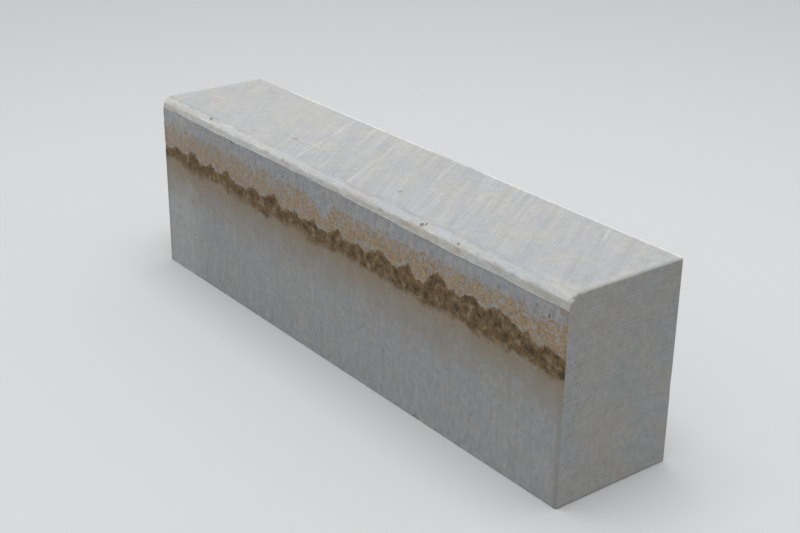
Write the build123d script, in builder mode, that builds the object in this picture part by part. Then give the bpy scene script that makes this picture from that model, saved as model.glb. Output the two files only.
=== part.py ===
from build123d import *
import os
from math import cos, pi, radians, sin, sqrt, tan

# Granite kerb stone: one sawn length with a hand-ground nose along its road-side top edge.
# It stands on its bed as it is laid. The origin is the middle of the bed, +X runs along the
# stone, -Y faces the road and +Z is up. Sizes are in millimetres and degrees.

# Sawn block
length = 1000.0
width = 200.0
depth = 300.0

# Ground nose: an upper and a lower facet with their tilts from level, joined by a middle facet
nose_run = 16.0
nose_drop = 16.0
upper_facet = 5.0
upper_facet_tilt = 18.0
lower_facet = 9.3
lower_facet_tilt = 67.0
facet_blend = 5.0

# The wheel was held by hand, so its cut wanders in and out of the stone along the edge
wander_depth = 0.4
wander_pitch = 600.0
stations_per_wander = 8

# Arrises, eased with a few strokes of a rubbing stone
back_arris = 1.5
end_arris = 2.0

# Spalls knocked out of the back top edge: distance from the near end, chord along the edge, bite
back_spalls = [
    (456.0, 30.0, 2.5),
    (932.0, 52.0, 4.0),
]

# Flakes lost where the nose meets the two ends: chord of the flake and its bite
corner_chord = 26.0
corner_bite = 3.0

# How far a cutting shape reaches past the stone
overcut = 6.0

front_face = -width / 2
back_face = width / 2
near_end = length / 2
far_end = -length / 2


def flake_radius(chord, bite):
    """Radius of the ball whose surface takes a flake of this chord and bite off an edge."""
    return (chord**2 / 4 + bite**2) / (2 * bite)


# The two breaks between the facets, measured back from the front face and up from the top face
upper_break = (
    nose_run - upper_facet * cos(radians(upper_facet_tilt)),
    -upper_facet * sin(radians(upper_facet_tilt)),
)
lower_break = (
    lower_facet * cos(radians(lower_facet_tilt)),
    lower_facet * sin(radians(lower_facet_tilt)) - nose_drop,
)

# Waste ground off for the nose, lofted through stations along the edge
ground_length = length + 2 * overcut
station_gaps = round(ground_length / wander_pitch * stations_per_wander) + 1
station_step = ground_length / station_gaps
top_run_out = overcut * tan(radians(upper_facet_tilt))
front_run_out = overcut / tan(radians(lower_facet_tilt))

with BuildPart() as nose_waste:
    for station in range(station_gaps + 1):
        along = far_end - overcut + station * station_step
        wander = -wander_depth * cos(2 * pi * along / wander_pitch)
        edge_point = (along, front_face + wander, depth - wander)
        with BuildSketch(Plane(origin=edge_point, x_dir=(0, 1, 0), z_dir=(1, 0, 0))):
            with BuildLine():
                FilletPolyline(
                    (nose_run + overcut, top_run_out),
                    upper_break,
                    lower_break,
                    (-front_run_out, -nose_drop - overcut),
                    radius=facet_blend,
                )
                Polyline(
                    (-front_run_out, -nose_drop - overcut),
                    (-front_run_out, top_run_out),
                    (nose_run + overcut, top_run_out),
                )
            make_face()
    loft()

# The stone: its section run along its length, then worked with the wheel and the rubbing stone
with BuildPart() as kerb_stone:
    with BuildSketch(Plane.YZ.offset(far_end)):
        Rectangle(width, depth, align=(Align.CENTER, Align.MIN))
    extrude(amount=length)

    chamfer(kerb_stone.faces().sort_by(Axis.Y)[-1].edges().sort_by(Axis.Z)[-1], length=back_arris)

    add(nose_waste.part, mode=Mode.SUBTRACT)

    chamfer(kerb_stone.faces().sort_by(Axis.X)[-1].edges(), length=end_arris)
    chamfer(kerb_stone.faces().sort_by(Axis.X)[0].edges(), length=end_arris)

    # Spalls off the back top edge: each is a shallow bite of a large ball centred outside the edge
    for from_near_end, chord, bite in back_spalls:
        ball = flake_radius(chord, bite)
        outward = (ball - bite) * sqrt(1 / 2)
        with Locations((near_end - from_near_end, back_face + outward, depth + outward)):
            Sphere(ball, mode=Mode.SUBTRACT)

    # Flakes off the nose at both ends, bitten from between the end and the slope of the nose
    corner_ball = flake_radius(corner_chord, corner_bite)
    corner_outward = (corner_ball - corner_bite) * sqrt(1 / 2)
    corner_y = front_face + lower_break[0] - corner_outward * sqrt(1 / 2)
    corner_z = depth + lower_break[1] + corner_outward * sqrt(1 / 2)
    for corner_x in (near_end + corner_outward, far_end - corner_outward):
        with Locations((corner_x, corner_y, corner_z)):
            Sphere(corner_ball, mode=Mode.SUBTRACT)

kerb_stone.part.label = "kerb_stone"

os.makedirs("parts", exist_ok=True)
export_step(kerb_stone.part, "parts/kerb_stone.step")
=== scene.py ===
"""Looks of a granite kerb stone, a sawn length with a hand-ground nose along its road-side edge.

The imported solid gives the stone's size and place. This script makes the stone's detailed surface,
dresses it in four finishes, and sets a pale floor, soft light and a camera around it. Sizes are
written in millimetres, and MM turns them into the metres that Blender works in. The stone stands
on its bed with its origin at the middle of the bed: +X runs along it, -Y faces the road, +Z is up.
"""

import logging
from abc import ABC, abstractmethod
from dataclasses import dataclass, replace
from enum import Enum
from math import atan2, cos, hypot, pi, radians, sin, sqrt, tan
from typing import ClassVar

import bpy
import numpy as np
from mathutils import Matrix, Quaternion, Vector, noise


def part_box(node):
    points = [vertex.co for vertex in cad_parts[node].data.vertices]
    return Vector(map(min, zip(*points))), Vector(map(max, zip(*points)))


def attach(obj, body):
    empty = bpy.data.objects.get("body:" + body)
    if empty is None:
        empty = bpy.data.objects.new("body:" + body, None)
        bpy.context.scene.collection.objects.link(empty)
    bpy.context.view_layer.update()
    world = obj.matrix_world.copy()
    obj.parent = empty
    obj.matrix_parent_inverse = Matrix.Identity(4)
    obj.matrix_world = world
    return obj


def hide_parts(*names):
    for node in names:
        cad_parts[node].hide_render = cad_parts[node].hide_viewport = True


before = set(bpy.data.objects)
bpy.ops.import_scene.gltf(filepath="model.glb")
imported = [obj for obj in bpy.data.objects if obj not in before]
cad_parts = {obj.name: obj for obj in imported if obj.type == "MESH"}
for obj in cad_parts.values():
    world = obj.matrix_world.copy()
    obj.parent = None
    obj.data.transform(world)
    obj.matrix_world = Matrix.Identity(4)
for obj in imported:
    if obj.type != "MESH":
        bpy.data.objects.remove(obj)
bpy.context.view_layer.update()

MM = 0.001
PER_METRE = 1000.0
BODY = "root"
NODE = "kerb_stone"

RIPPLE_SIZES = 3

# Offsets that keep the random patterns of the surface apart
WAVE_SALT = 1.7
HOLLOW_SALT = 8.2
WOBBLE_SALT = 5.3
WOBBLE_SALT_STEP = 3.1
BREAKS_SALT = 3.0
CREASE_SALT = 90.0
DUST_SALT = 40.0

Socket = bpy.types.NodeSocket
Feed = float | tuple[float, ...] | Socket
Feeds = dict[str | int, Feed]
Outputs = bpy.types.NodeOutputs
Point = tuple[float, float]
Colour = tuple[float, float, float]
Size = float | tuple[float, float, float]


class Side(Enum):
    """A side of the stone that has a finish of its own."""

    TOP = 0
    NOSE = 1
    ROAD = 2
    SAWN = 3


class Mark(Enum):
    """A mark that the mesh carries to its materials as a value at each point."""

    BROKEN = "broken"
    PITTED = "pitted"
    ARRIS = "arris"
    ABOVE_FOOT = "above_foot"


@dataclass(frozen=True)
class Corner:
    """A corner of an outline and the straight run that follows it.

    Attributes:
        at: The corner's place in the outline's plane.
        radius: Radius that eases the corner.
        arc_rows: Points along the easing.
        run_rows: Points along the run, its ends left out.
        crowding: How much the run's points crowd towards its ends, from 0 to 1.
        side: Finish of the run.
    """

    at: Point
    radius: float
    arc_rows: int
    run_rows: int
    crowding: float
    side: Side


def crowded(count: int, crowding: float) -> np.ndarray:
    """Spread points over a length so that they lie closer together near both ends.

    Args:
        count: Number of points between the ends.
        crowding: 0 for even gaps, towards 1 for points crowded at the ends.

    Returns:
        The points as shares of the length.
    """
    share = np.arange(1, count + 1) / (count + 1)
    return share - crowding * np.sin(2 * pi * share) / (2 * pi)


def meet(first: Point, first_tilt: float, second: Point, second_tilt: float) -> Point:
    """Find where two lines cross.

    Args:
        first: A point of the first line.
        first_tilt: Its tilt from level, in degrees.
        second: A point of the second line.
        second_tilt: Its tilt from level, in degrees.

    Returns:
        The crossing point.
    """
    run_a, rise_a = cos(radians(first_tilt)), sin(radians(first_tilt))
    run_b, rise_b = cos(radians(second_tilt)), sin(radians(second_tilt))
    gap_run, gap_rise = second[0] - first[0], second[1] - first[1]
    way = (gap_run * rise_b - gap_rise * run_b) / (run_a * rise_b - rise_a * run_b)
    return first[0] + way * run_a, first[1] + way * rise_a


def trace(corners: list[Corner]) -> tuple[np.ndarray, list[Side]]:
    """Follow a closed outline round its eased corners.

    Args:
        corners: The outline's corners in order.

    Returns:
        The points, one row each, and the finish of the strip after each point.
    """
    points: list[np.ndarray] = []
    sides: list[Side] = []
    spots = [np.array(corner.at) for corner in corners]
    arcs = []
    for here, corner in enumerate(corners):
        spot = spots[here]
        ahead = spots[(here + 1) % len(spots)] - spot
        behind = spot - spots[here - 1]
        ahead, behind = ahead / hypot(*ahead), behind / hypot(*behind)
        turn = atan2(behind[0] * ahead[1] - behind[1] * ahead[0], float(behind @ ahead))
        inward = np.array([-behind[1], behind[0]]) * np.sign(turn)
        middle = spot - behind * corner.radius * tan(abs(turn) / 2) + inward * corner.radius
        arc = []
        for share in np.linspace(0, 1, corner.arc_rows):
            cosine, sine = cos(turn * share), sin(turn * share)
            spoke = np.array([inward[0] * cosine - inward[1] * sine, inward[0] * sine + inward[1] * cosine])
            arc.append(middle - spoke * corner.radius)
        arcs.append(arc)
    for here, corner in enumerate(corners):
        arc = arcs[here]
        start, end = arc[-1], arcs[(here + 1) % len(arcs)][0]
        before = corners[here - 1].side
        kept_rows = corner.arc_rows // 2 - 1
        points += arc
        sides += [before if row < kept_rows else corner.side for row in range(corner.arc_rows)]
        for share in crowded(corner.run_rows, corner.crowding):
            points.append(start + (end - start) * share)
            sides.append(corner.side)
    return np.array(points), sides


def ripple(points: np.ndarray, wavelength: float, salt: float) -> np.ndarray:
    """Draw a smooth random value at each point, from ripples of three sizes, each half the last.

    Args:
        points: Points in millimetres, one row each.
        wavelength: Size of the largest ripples, in millimetres.
        salt: Moves the pattern, so that two uses differ.

    Returns:
        Values of about -1 to 1.
    """
    shift = Vector((salt, salt * 0.7, -salt * 1.3))
    return np.array([noise.fractal(Vector(p) / wavelength + shift, 1.0, 2.0, RIPPLE_SIZES) for p in points])


@dataclass(frozen=True)
class Nose:
    """The three facets that a hand grinder left along the road-side edge.

    Attributes:
        run: Width taken off the top.
        drop: Depth taken off the road face.
        upper_facet: Length of the upper facet up its slope.
        upper_tilt: Its tilt from level, in degrees.
        lower_facet: Length of the lower facet up its slope.
        lower_tilt: Its tilt from level, in degrees.
        blend: Radius of the two breaks between the facets.
        wander_depth: How far the wheel wandered in and out of the stone.
        wander_pitch: Length along the stone of one wander.
        wobble_depth: How far each facet wobbled by itself.
        wobble_pitch: Length of the wobbles.
        foot_sinks: Places along the stone, and how much lower than drawn the foot runs there.
    """

    run: float = 16.0
    drop: float = 16.0
    upper_facet: float = 5.0
    upper_tilt: float = 18.0
    lower_facet: float = 9.3
    lower_tilt: float = 67.0
    blend: float = 8.0
    wander_depth: float = 0.4
    wander_pitch: float = 600.0
    wobble_depth: float = 0.5
    wobble_pitch: float = 36.0
    foot_sinks: tuple[Point, ...] = (
        (-500.0, 2.4),
        (-430.0, -0.2),
        (-300.0, -0.5),
        (-150.0, 0.0),
        (0.0, 1.3),
        (100.0, 1.9),
        (170.0, 2.8),
        (300.0, 2.2),
        (420.0, 3.0),
        (460.0, 5.0),
        (500.0, 5.6),
    )

    def breaks(self) -> tuple[Point, Point]:
        """Place the two breaks between the facets.

        Returns:
            The breaks below and above the middle facet, measured from the square edge.
        """
        lower_angle, upper_angle = radians(self.lower_tilt), radians(self.upper_tilt)
        below = (self.lower_facet * cos(lower_angle), self.lower_facet * sin(lower_angle) - self.drop)
        above = (self.run - self.upper_facet * cos(upper_angle), -self.upper_facet * sin(upper_angle))
        return below, above

    def tilts(self) -> tuple[float, float, float]:
        """Work out how steep the facets are.

        Returns:
            The tilts of the lower, middle and upper facet, in degrees.
        """
        below, above = self.breaks()
        middle = np.degrees(atan2(above[1] - below[1], above[0] - below[0]))
        return self.lower_tilt, float(middle), self.upper_tilt

    def cuts(self, ground: tuple[float, float, float]) -> list[Point]:
        """Find the four corners of the nose.

        Args:
            ground: How much deeper than drawn the lower, middle and upper facet are ground.

        Returns:
            The corners from the road face up to the top, measured from the square edge.
        """
        below, above = self.breaks()
        starts = [(0.0, -self.drop), below, (self.run, 0.0)]
        lines = [((0.0, 0.0), 90.0)]
        for start, tilt, depth in zip(starts, self.tilts(), ground):
            angle = radians(tilt)
            lines.append(((start[0] + depth * sin(angle), start[1] - depth * cos(angle)), tilt))
        lines.append(((0.0, 0.0), 0.0))
        return [meet(*lines[k], *lines[k + 1]) for k in range(len(lines) - 1)]

    def sunk(self, sink: float) -> "Nose":
        """Move the foot further down the road face.

        Args:
            sink: How much further down.

        Returns:
            The nose with its foot lower and its breaks where they were.
        """
        run, rise = self.breaks()[0]
        rise += self.drop + sink
        tilt = float(np.degrees(atan2(rise, run)))
        return replace(self, drop=self.drop + sink, lower_facet=hypot(run, rise), lower_tilt=tilt)

    def ground(self, along: np.ndarray) -> np.ndarray:
        """Work out how deep each facet is ground along the stone.

        Args:
            along: Places along the stone.

        Returns:
            One row for the lower, middle and upper facet, one column for each place.
        """
        wander = -self.wander_depth * np.cos(2 * pi * along / self.wander_pitch)
        line = np.column_stack([along, np.zeros_like(along), np.zeros_like(along)])
        rows = []
        for facet, tilt in enumerate(self.tilts()):
            share = sin(radians(tilt)) + cos(radians(tilt))
            salt = WOBBLE_SALT + WOBBLE_SALT_STEP * facet
            wobble = self.wobble_depth * ripple(line, self.wobble_pitch, salt)
            rows.append(wander * share + wobble)
        return np.array(rows)


@dataclass(frozen=True)
class Flake:
    """A shallow bite out of the stone, the shape that a large ball would leave.

    Attributes:
        at: Point of the sound surface in the middle of the bite.
        outward: Unit direction out of the stone there.
        chord: Width of the bite along the surface.
        bite: Its depth.
        ragged: How rough it is, as a share of its depth.
        mark: What it leaves on the surface.
        full_mark: Depth from which a point is marked fully.
        finest_lump: Size of the lumps inside the smallest bites.
    """

    at: Vector
    outward: Vector
    chord: float
    bite: float
    ragged: float = 0.35
    mark: Mark = Mark.BROKEN
    full_mark: ClassVar[float] = 0.25
    finest_lump: ClassVar[float] = 1.5

    def carve(self, points: np.ndarray, marks: dict[Mark, np.ndarray]) -> None:
        """Push the points that lie inside the ball in to its surface.

        Args:
            points: The stone's points, changed in place.
            marks: The stone's marks, changed in place.
        """
        ball = (self.chord**2 / 4 + self.bite**2) / (2 * self.bite)
        outward = np.array(self.outward)
        centre = np.array(self.at) + outward * (ball - self.bite)
        near = np.flatnonzero(np.abs(points - np.array(self.at)).max(axis=1) < self.chord)
        if not len(near):
            return
        roughness = ripple(points[near], max(self.chord / 4, self.finest_lump), self.chord)
        spoke = points[near] - centre + np.outer(self.ragged * self.bite * roughness, outward)
        height = spoke @ outward
        inside = ball**2 - (spoke**2).sum(axis=1) + height**2
        push = height + np.sqrt(np.maximum(inside, 0))
        hit = (inside > 0) & (push > 0) & (height < 0)
        moved = near[hit]
        points[moved] -= np.outer(push[hit], outward)
        shown = np.clip(push[hit] / self.full_mark, 0, 1)
        marks[self.mark][moved] = np.maximum(marks[self.mark][moved], shown)


@dataclass(frozen=True)
class Edge:
    """An arris that has lost small chips here and there.

    Attributes:
        start: One end of the arris.
        end: The other end.
        outward: Direction out of the stone, between the two faces.
        chips: How many chips it has lost.
        largest: Chord of the largest chip.
        smallest: Chord of the smallest chip.
        shallowest: Bite of the shallowest chip, as a share of its chord.
        bite_spread: How much larger that share is for the deepest chip.
    """

    start: Vector
    end: Vector
    outward: Vector
    chips: int
    largest: float
    smallest: ClassVar[float] = 2.5
    shallowest: ClassVar[float] = 0.09
    bite_spread: ClassVar[float] = 0.11

    def flakes(self, dice: np.random.Generator) -> list[Flake]:
        """Draw the chips.

        Args:
            dice: Source of the random numbers.

        Returns:
            The chips, most of them small.
        """
        found = []
        for place, size, depth in dice.random((self.chips, 3)):
            chord = self.smallest + (self.largest - self.smallest) * size**3
            bite = chord * (self.shallowest + self.bite_spread * depth)
            at = self.start.lerp(self.end, float(place))
            found.append(Flake(at, self.outward.normalized(), float(chord), float(bite)))
        return found


@dataclass(frozen=True)
class KerbStone:
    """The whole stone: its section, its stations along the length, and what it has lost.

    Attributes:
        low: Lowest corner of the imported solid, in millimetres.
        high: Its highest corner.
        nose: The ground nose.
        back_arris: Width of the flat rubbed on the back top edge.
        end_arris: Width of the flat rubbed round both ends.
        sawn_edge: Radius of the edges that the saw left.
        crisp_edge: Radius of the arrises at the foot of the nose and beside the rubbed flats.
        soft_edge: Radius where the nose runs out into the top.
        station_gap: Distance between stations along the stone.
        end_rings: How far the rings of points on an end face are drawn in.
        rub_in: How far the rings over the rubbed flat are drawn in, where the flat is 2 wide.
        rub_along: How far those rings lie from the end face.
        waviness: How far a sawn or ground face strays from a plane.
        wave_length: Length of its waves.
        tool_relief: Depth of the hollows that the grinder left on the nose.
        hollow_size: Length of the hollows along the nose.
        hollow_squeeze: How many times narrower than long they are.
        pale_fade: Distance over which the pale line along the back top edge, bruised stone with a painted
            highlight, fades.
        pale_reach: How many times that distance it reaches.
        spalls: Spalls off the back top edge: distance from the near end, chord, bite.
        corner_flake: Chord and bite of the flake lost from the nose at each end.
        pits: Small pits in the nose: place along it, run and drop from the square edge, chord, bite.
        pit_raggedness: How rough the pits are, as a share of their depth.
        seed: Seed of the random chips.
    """

    low: Vector
    high: Vector
    nose: Nose = Nose()
    back_arris: float = 1.5
    end_arris: float = 2.0
    sawn_edge: float = 0.8
    crisp_edge: float = 0.5
    soft_edge: float = 3.0
    station_gap: float = 1.95
    end_rings: tuple[float, ...] = (
        97.0, 86.0, 74.0, 62.0, 51.0, 41.0, 32.0, 24.0, 17.0, 12.0, 8.0, 5.5, 4.0,
    )
    rub_in: tuple[float, ...] = (2.7, 2.2, 1.75, 1.2, 0.7, 0.25, 0.05, 0.0)
    rub_along: tuple[float, ...] = (0.0, 0.05, 0.3, 0.8, 1.35, 1.8, 2.3, 2.9)
    waviness: float = 0.12
    wave_length: float = 120.0
    tool_relief: float = 0.22
    hollow_size: float = 16.0
    hollow_squeeze: float = 1.6
    pale_fade: float = 2.4
    pale_reach: float = 1.6
    spalls: tuple[tuple[float, float, float], ...] = ((456.0, 30.0, 2.5), (932.0, 52.0, 4.0))
    corner_flake: Point = (26.0, 3.0)
    pits: tuple[tuple[float, float, float, float, float], ...] = (
        (-354.0, 9.6, -2.8, 7.0, 1.6),
        (-347.5, 8.4, -3.8, 4.5, 0.9),
        (-329.0, 9.4, -3.0, 4.5, 0.7),
        (207.5, 6.0, -5.6, 7.0, 1.6),
        (213.5, 8.6, -3.4, 6.5, 1.3),
        (285.0, 4.2, -7.0, 6.5, 1.5),
    )
    pit_raggedness: float = 0.2
    seed: int = 11

    def section(
        self, ground: tuple[float, float, float] = (0.0, 0.0, 0.0)
    ) -> tuple[np.ndarray, list[Side]]:
        """Draw the section, up the road face, over the top and back along the bed.

        Args:
            ground: How much deeper than drawn the facets of the nose are ground.

        Returns:
            Points across and up, and the finish of the strip after each.
        """
        front, back, top, bed = self.low.y, self.high.y, self.high.z, self.low.z
        foot, lower, upper, head = [(front + y, top + z) for y, z in self.nose.cuts(ground)]
        flat = self.back_arris
        crisp = self.crisp_edge
        corners = [
            Corner((front, bed), self.sawn_edge, 3, 44, 0.93, Side.ROAD),
            Corner(foot, crisp, 4, 7, 0.6, Side.NOSE),
            Corner(lower, self.nose.blend, 4, 7, 0.2, Side.NOSE),
            Corner(upper, self.nose.blend, 4, 4, 0.2, Side.NOSE),
            Corner(head, self.soft_edge, 3, 36, 0.92, Side.TOP),
            Corner((back - flat, top), crisp, 3, 1, 0.0, Side.TOP),
            Corner((back, top - flat), crisp, 3, 26, 0.97, Side.SAWN),
            Corner((back, bed), self.sawn_edge, 3, 18, 0.95, Side.SAWN),
        ]
        return trace(corners)

    def rings(self) -> tuple[np.ndarray, np.ndarray]:
        """Place the rings of points that make the stone, from the far end to the near one.

        Returns:
            Where each ring lies along the stone, and how far it is drawn in from the section.
        """
        insets = np.array(self.end_rings)
        rub_in = np.array(self.rub_in) * self.end_arris / 2
        rub_along = np.array(self.rub_along) * self.end_arris / 2
        clear = self.high.x - self.low.x - 2 * rub_along[-1]
        gaps = round(clear / self.station_gap)
        body = self.low.x + rub_along[-1] + clear * np.arange(1, gaps) / gaps
        along = np.concatenate([
            np.full(len(insets), self.low.x),
            self.low.x + rub_along,
            body,
            self.high.x - rub_along[::-1],
            np.full(len(insets), self.high.x),
        ])
        inset = np.concatenate([insets, rub_in, np.zeros(len(body)), rub_in[::-1], insets[::-1]])
        return along, inset

    def sound_surface(self) -> tuple[np.ndarray, list[Side]]:
        """Lay out the stone's surface before it was knocked about.

        Returns:
            Points by ring and row, and the finish of the strip after each row.
        """
        along, inset = self.rings()
        ground = self.nose.ground(along)
        plain, sides = self.section()
        surface = np.zeros((len(along), len(plain), 3))
        surface[:, :, 0] = along[:, None]
        surface[:, :, 1:] = plain
        for facet in range(3):
            one = tuple(float(facet == k) for k in range(3))
            change = self.section(one)[0] - plain
            surface[:, :, 1:] += ground[facet][:, None, None] * change
        change = replace(self, nose=self.nose.sunk(1.0)).section()[0] - plain
        sinks = np.interp(along, *np.transpose(self.nose.foot_sinks))
        surface[:, :, 1:] += sinks[:, None, None] * change
        middle = (self.low + self.high) / 2
        half = (self.high - self.low) / 2
        for axis in (1, 2):
            drawn_in = (1 - inset / half[axis])[:, None]
            surface[:, :, axis] = middle[axis] + (surface[:, :, axis] - middle[axis]) * drawn_in
        return surface, sides

    def outward(self, surface: np.ndarray) -> np.ndarray:
        """Find the direction out of the stone at each point.

        Args:
            surface: Points by ring and row.

        Returns:
            Unit directions by ring and row.
        """
        across = np.roll(surface, -1, axis=1) - np.roll(surface, 1, axis=1)
        lengthwise = np.gradient(surface, axis=0)
        found = np.cross(lengthwise, across)
        return found / np.maximum(np.linalg.norm(found, axis=2, keepdims=True), 1e-9)

    def edges(self) -> list[Edge]:
        """List the arrises that have lost chips.

        Returns:
            The long arrises, and those round both ends.
        """
        x0, y0, z0 = self.low
        x1, y1, z1 = self.high
        foot_z = z1 - self.nose.drop
        head_y = y0 + self.nose.run
        rub = self.back_arris / 2
        arrises = [
            ((x0, y1 - rub, z1 - rub), (x1, y1 - rub, z1 - rub), (0, 1, 1), 46, 11.0),
            ((x0, y0, foot_z), (x1, y0, foot_z), (0, -1, 0.25), 70, 8.0),
            ((x0, y0, z0), (x1, y0, z0), (0, -1, -1), 34, 16.0),
            ((x0, y1, z0), (x1, y1, z0), (0, 1, -1), 34, 16.0),
        ]
        for x, out in ((x0 + self.end_arris / 2, -1), (x1 - self.end_arris / 2, 1)):
            arrises += [
                ((x, y0, z0), (x, y0, foot_z), (out, -1, 0), 16, 12.0),
                ((x, head_y, z1), (x, y1, z1), (out, 0, 1), 12, 11.0),
                ((x, y1, z0), (x, y1, z1), (out, 1, 0), 18, 13.0),
                ((x, y0, z0), (x, y1, z0), (out, 0, -1), 12, 14.0),
            ]
        return [
            Edge(Vector(start), Vector(end), Vector(outward), chips, largest)
            for start, end, outward, chips, largest in arrises
        ]

    def losses(self) -> list[Flake]:
        """List what the stone has lost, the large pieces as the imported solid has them.

        Returns:
            Every spall, flake, chip and pit.
        """
        dice = np.random.default_rng(self.seed)
        x0, y0 = self.low.x, self.low.y
        x1, y1, z1 = self.high
        out_back = Vector((0, 1, 1)).normalized()
        found = [
            Flake(Vector((x1 - off, y1, z1)), out_back, chord, bite)
            for off, chord, bite in self.spalls
        ]
        lower, _ = self.nose.breaks()
        half = sqrt(1 / 2)
        for x, out in ((x0, -1), (x1, 1)):
            outward = Vector((out * half, -half * half, half * half)).normalized()
            at = Vector((x, y0 + lower[0], z1 + lower[1]))
            found.append(Flake(at, outward, *self.corner_flake))
        for edge in self.edges():
            found += edge.flakes(dice)
        off_nose = Vector((0, -0.4, 0.9)).normalized()
        for x, y, z, chord, bite in self.pits:
            at = Vector((x, y0 + y, z1 + z))
            found.append(Flake(at, off_nose, chord, bite, self.pit_raggedness, Mark.PITTED))
        return found

    def arris_mark(self, rows: np.ndarray, inset: np.ndarray) -> np.ndarray:
        """Mark how near each point lies to the rubbed arris along the back of the top.

        Args:
            rows: Points of the plain section.
            inset: How far each ring is drawn in from the section.

        Returns:
            1 on the arris, down to 0 a few millimetres away, by ring and row.
        """
        rub = self.back_arris / 2
        off = np.hypot(rows[:, 0] - self.high.y + rub, rows[:, 1] - self.high.z + rub)
        return np.outer(inset <= self.end_arris, np.clip(self.pale_reach - off / self.pale_fade, 0, 1))

    def above_foot(self, points: np.ndarray, rows: np.ndarray) -> np.ndarray:
        """Measure how high each point lies above the foot of the nose.

        Args:
            points: The stone's points, ring by ring.
            rows: Points of the plain section.

        Returns:
            Heights, below zero on the road face, by ring and row.
        """
        foot = np.array([self.low.y, self.high.z - self.nose.drop])
        foot_row = np.linalg.norm(rows - foot, axis=1).argmin()
        heights = points[:, 2].reshape(-1, len(rows))
        return heights - heights[:, [foot_row]]

    def build(self) -> bpy.types.Object:
        """Make the stone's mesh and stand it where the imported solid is.

        Returns:
            The stone as an object.
        """
        surface, sides = self.sound_surface()
        rings, rows = surface.shape[:2]
        outward = self.outward(surface).reshape(-1, 3)
        points = surface.reshape(-1, 3).copy()
        on_nose = np.array([side is Side.NOSE for side in sides])
        nose_share = np.tile(on_nose, rings)
        long_waves = ripple(points, self.wave_length, WAVE_SALT)
        squeezed = points * np.array([1.0, self.hollow_squeeze, self.hollow_squeeze])
        hollows = ripple(squeezed, self.hollow_size, HOLLOW_SALT)
        depth = self.waviness * (0.5 + 0.5 * long_waves)
        depth = depth + nose_share * self.tool_relief * (0.5 + 0.5 * hollows)
        points -= outward * np.maximum(depth, 0)[:, None]
        marks = {mark: np.zeros(len(points)) for mark in Mark}
        plain = self.section()[0]
        marks[Mark.ARRIS] = self.arris_mark(plain, self.rings()[1]).ravel()
        marks[Mark.ABOVE_FOOT] = self.above_foot(points, plain).ravel()
        for flake in self.losses():
            flake.carve(points, marks)
        return self.mesh(points, marks, sides, rings, rows)

    def mesh(
        self,
        points: np.ndarray,
        marks: dict[Mark, np.ndarray],
        sides: list[Side],
        rings: int,
        rows: int,
    ) -> bpy.types.Object:
        """Join the points into one closed mesh.

        Args:
            points: The points in millimetres, ring by ring.
            marks: The marks at each point.
            sides: Finish of the strip after each row.
            rings: Number of rings.
            rows: Number of rows in a ring.

        Returns:
            The stone as an object.
        """
        ring, row = np.meshgrid(np.arange(rings - 1), np.arange(rows), indexing="ij")
        after = (row + 1) % rows
        near, far = (ring + 1) * rows, ring * rows
        quads = np.stack([far + row, near + row, near + after, far + after], -1)
        faces = quads.reshape(-1, 4).tolist()
        last = (rings - 1) * rows
        faces.append(list(range(rows)))
        faces.append(list(range(last + rows - 1, last - 1, -1)))
        mesh = bpy.data.meshes.new(NODE)
        mesh.from_pydata((points * MM).tolist(), [], faces)
        inset = self.rings()[1]
        inner_rub = self.end_arris * 0.4
        sawn = np.minimum(inset[:-1], inset[1:]) > inner_rub
        finish = np.tile([side.value for side in sides], (rings - 1, 1))
        finish[sawn] = Side.SAWN.value
        indices = np.concatenate([finish.ravel(), [Side.SAWN.value] * 2]).astype(np.int32)
        mesh.polygons.foreach_set("material_index", indices)
        mesh.polygons.foreach_set("use_smooth", np.ones(len(faces), bool))
        for mark, values in marks.items():
            layer = mesh.attributes.new(mark.value, "FLOAT", "POINT")
            layer.data.foreach_set("value", values.astype(np.float32))
        mesh.validate()
        mesh.update()
        stone = bpy.data.objects.new("granite_kerb_stone", mesh)
        bpy.context.scene.collection.objects.link(stone)
        return stone


class SocketKind(Enum):
    """A kind of socket on a node group."""

    VALUE = "NodeSocketFloat"
    PLACE = "NodeSocketVector"
    COLOUR = "NodeSocketColor"


@dataclass(frozen=True)
class Port:
    """A named socket of a node group and what kind of thing goes through it."""

    name: str
    kind: SocketKind = SocketKind.VALUE


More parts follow.
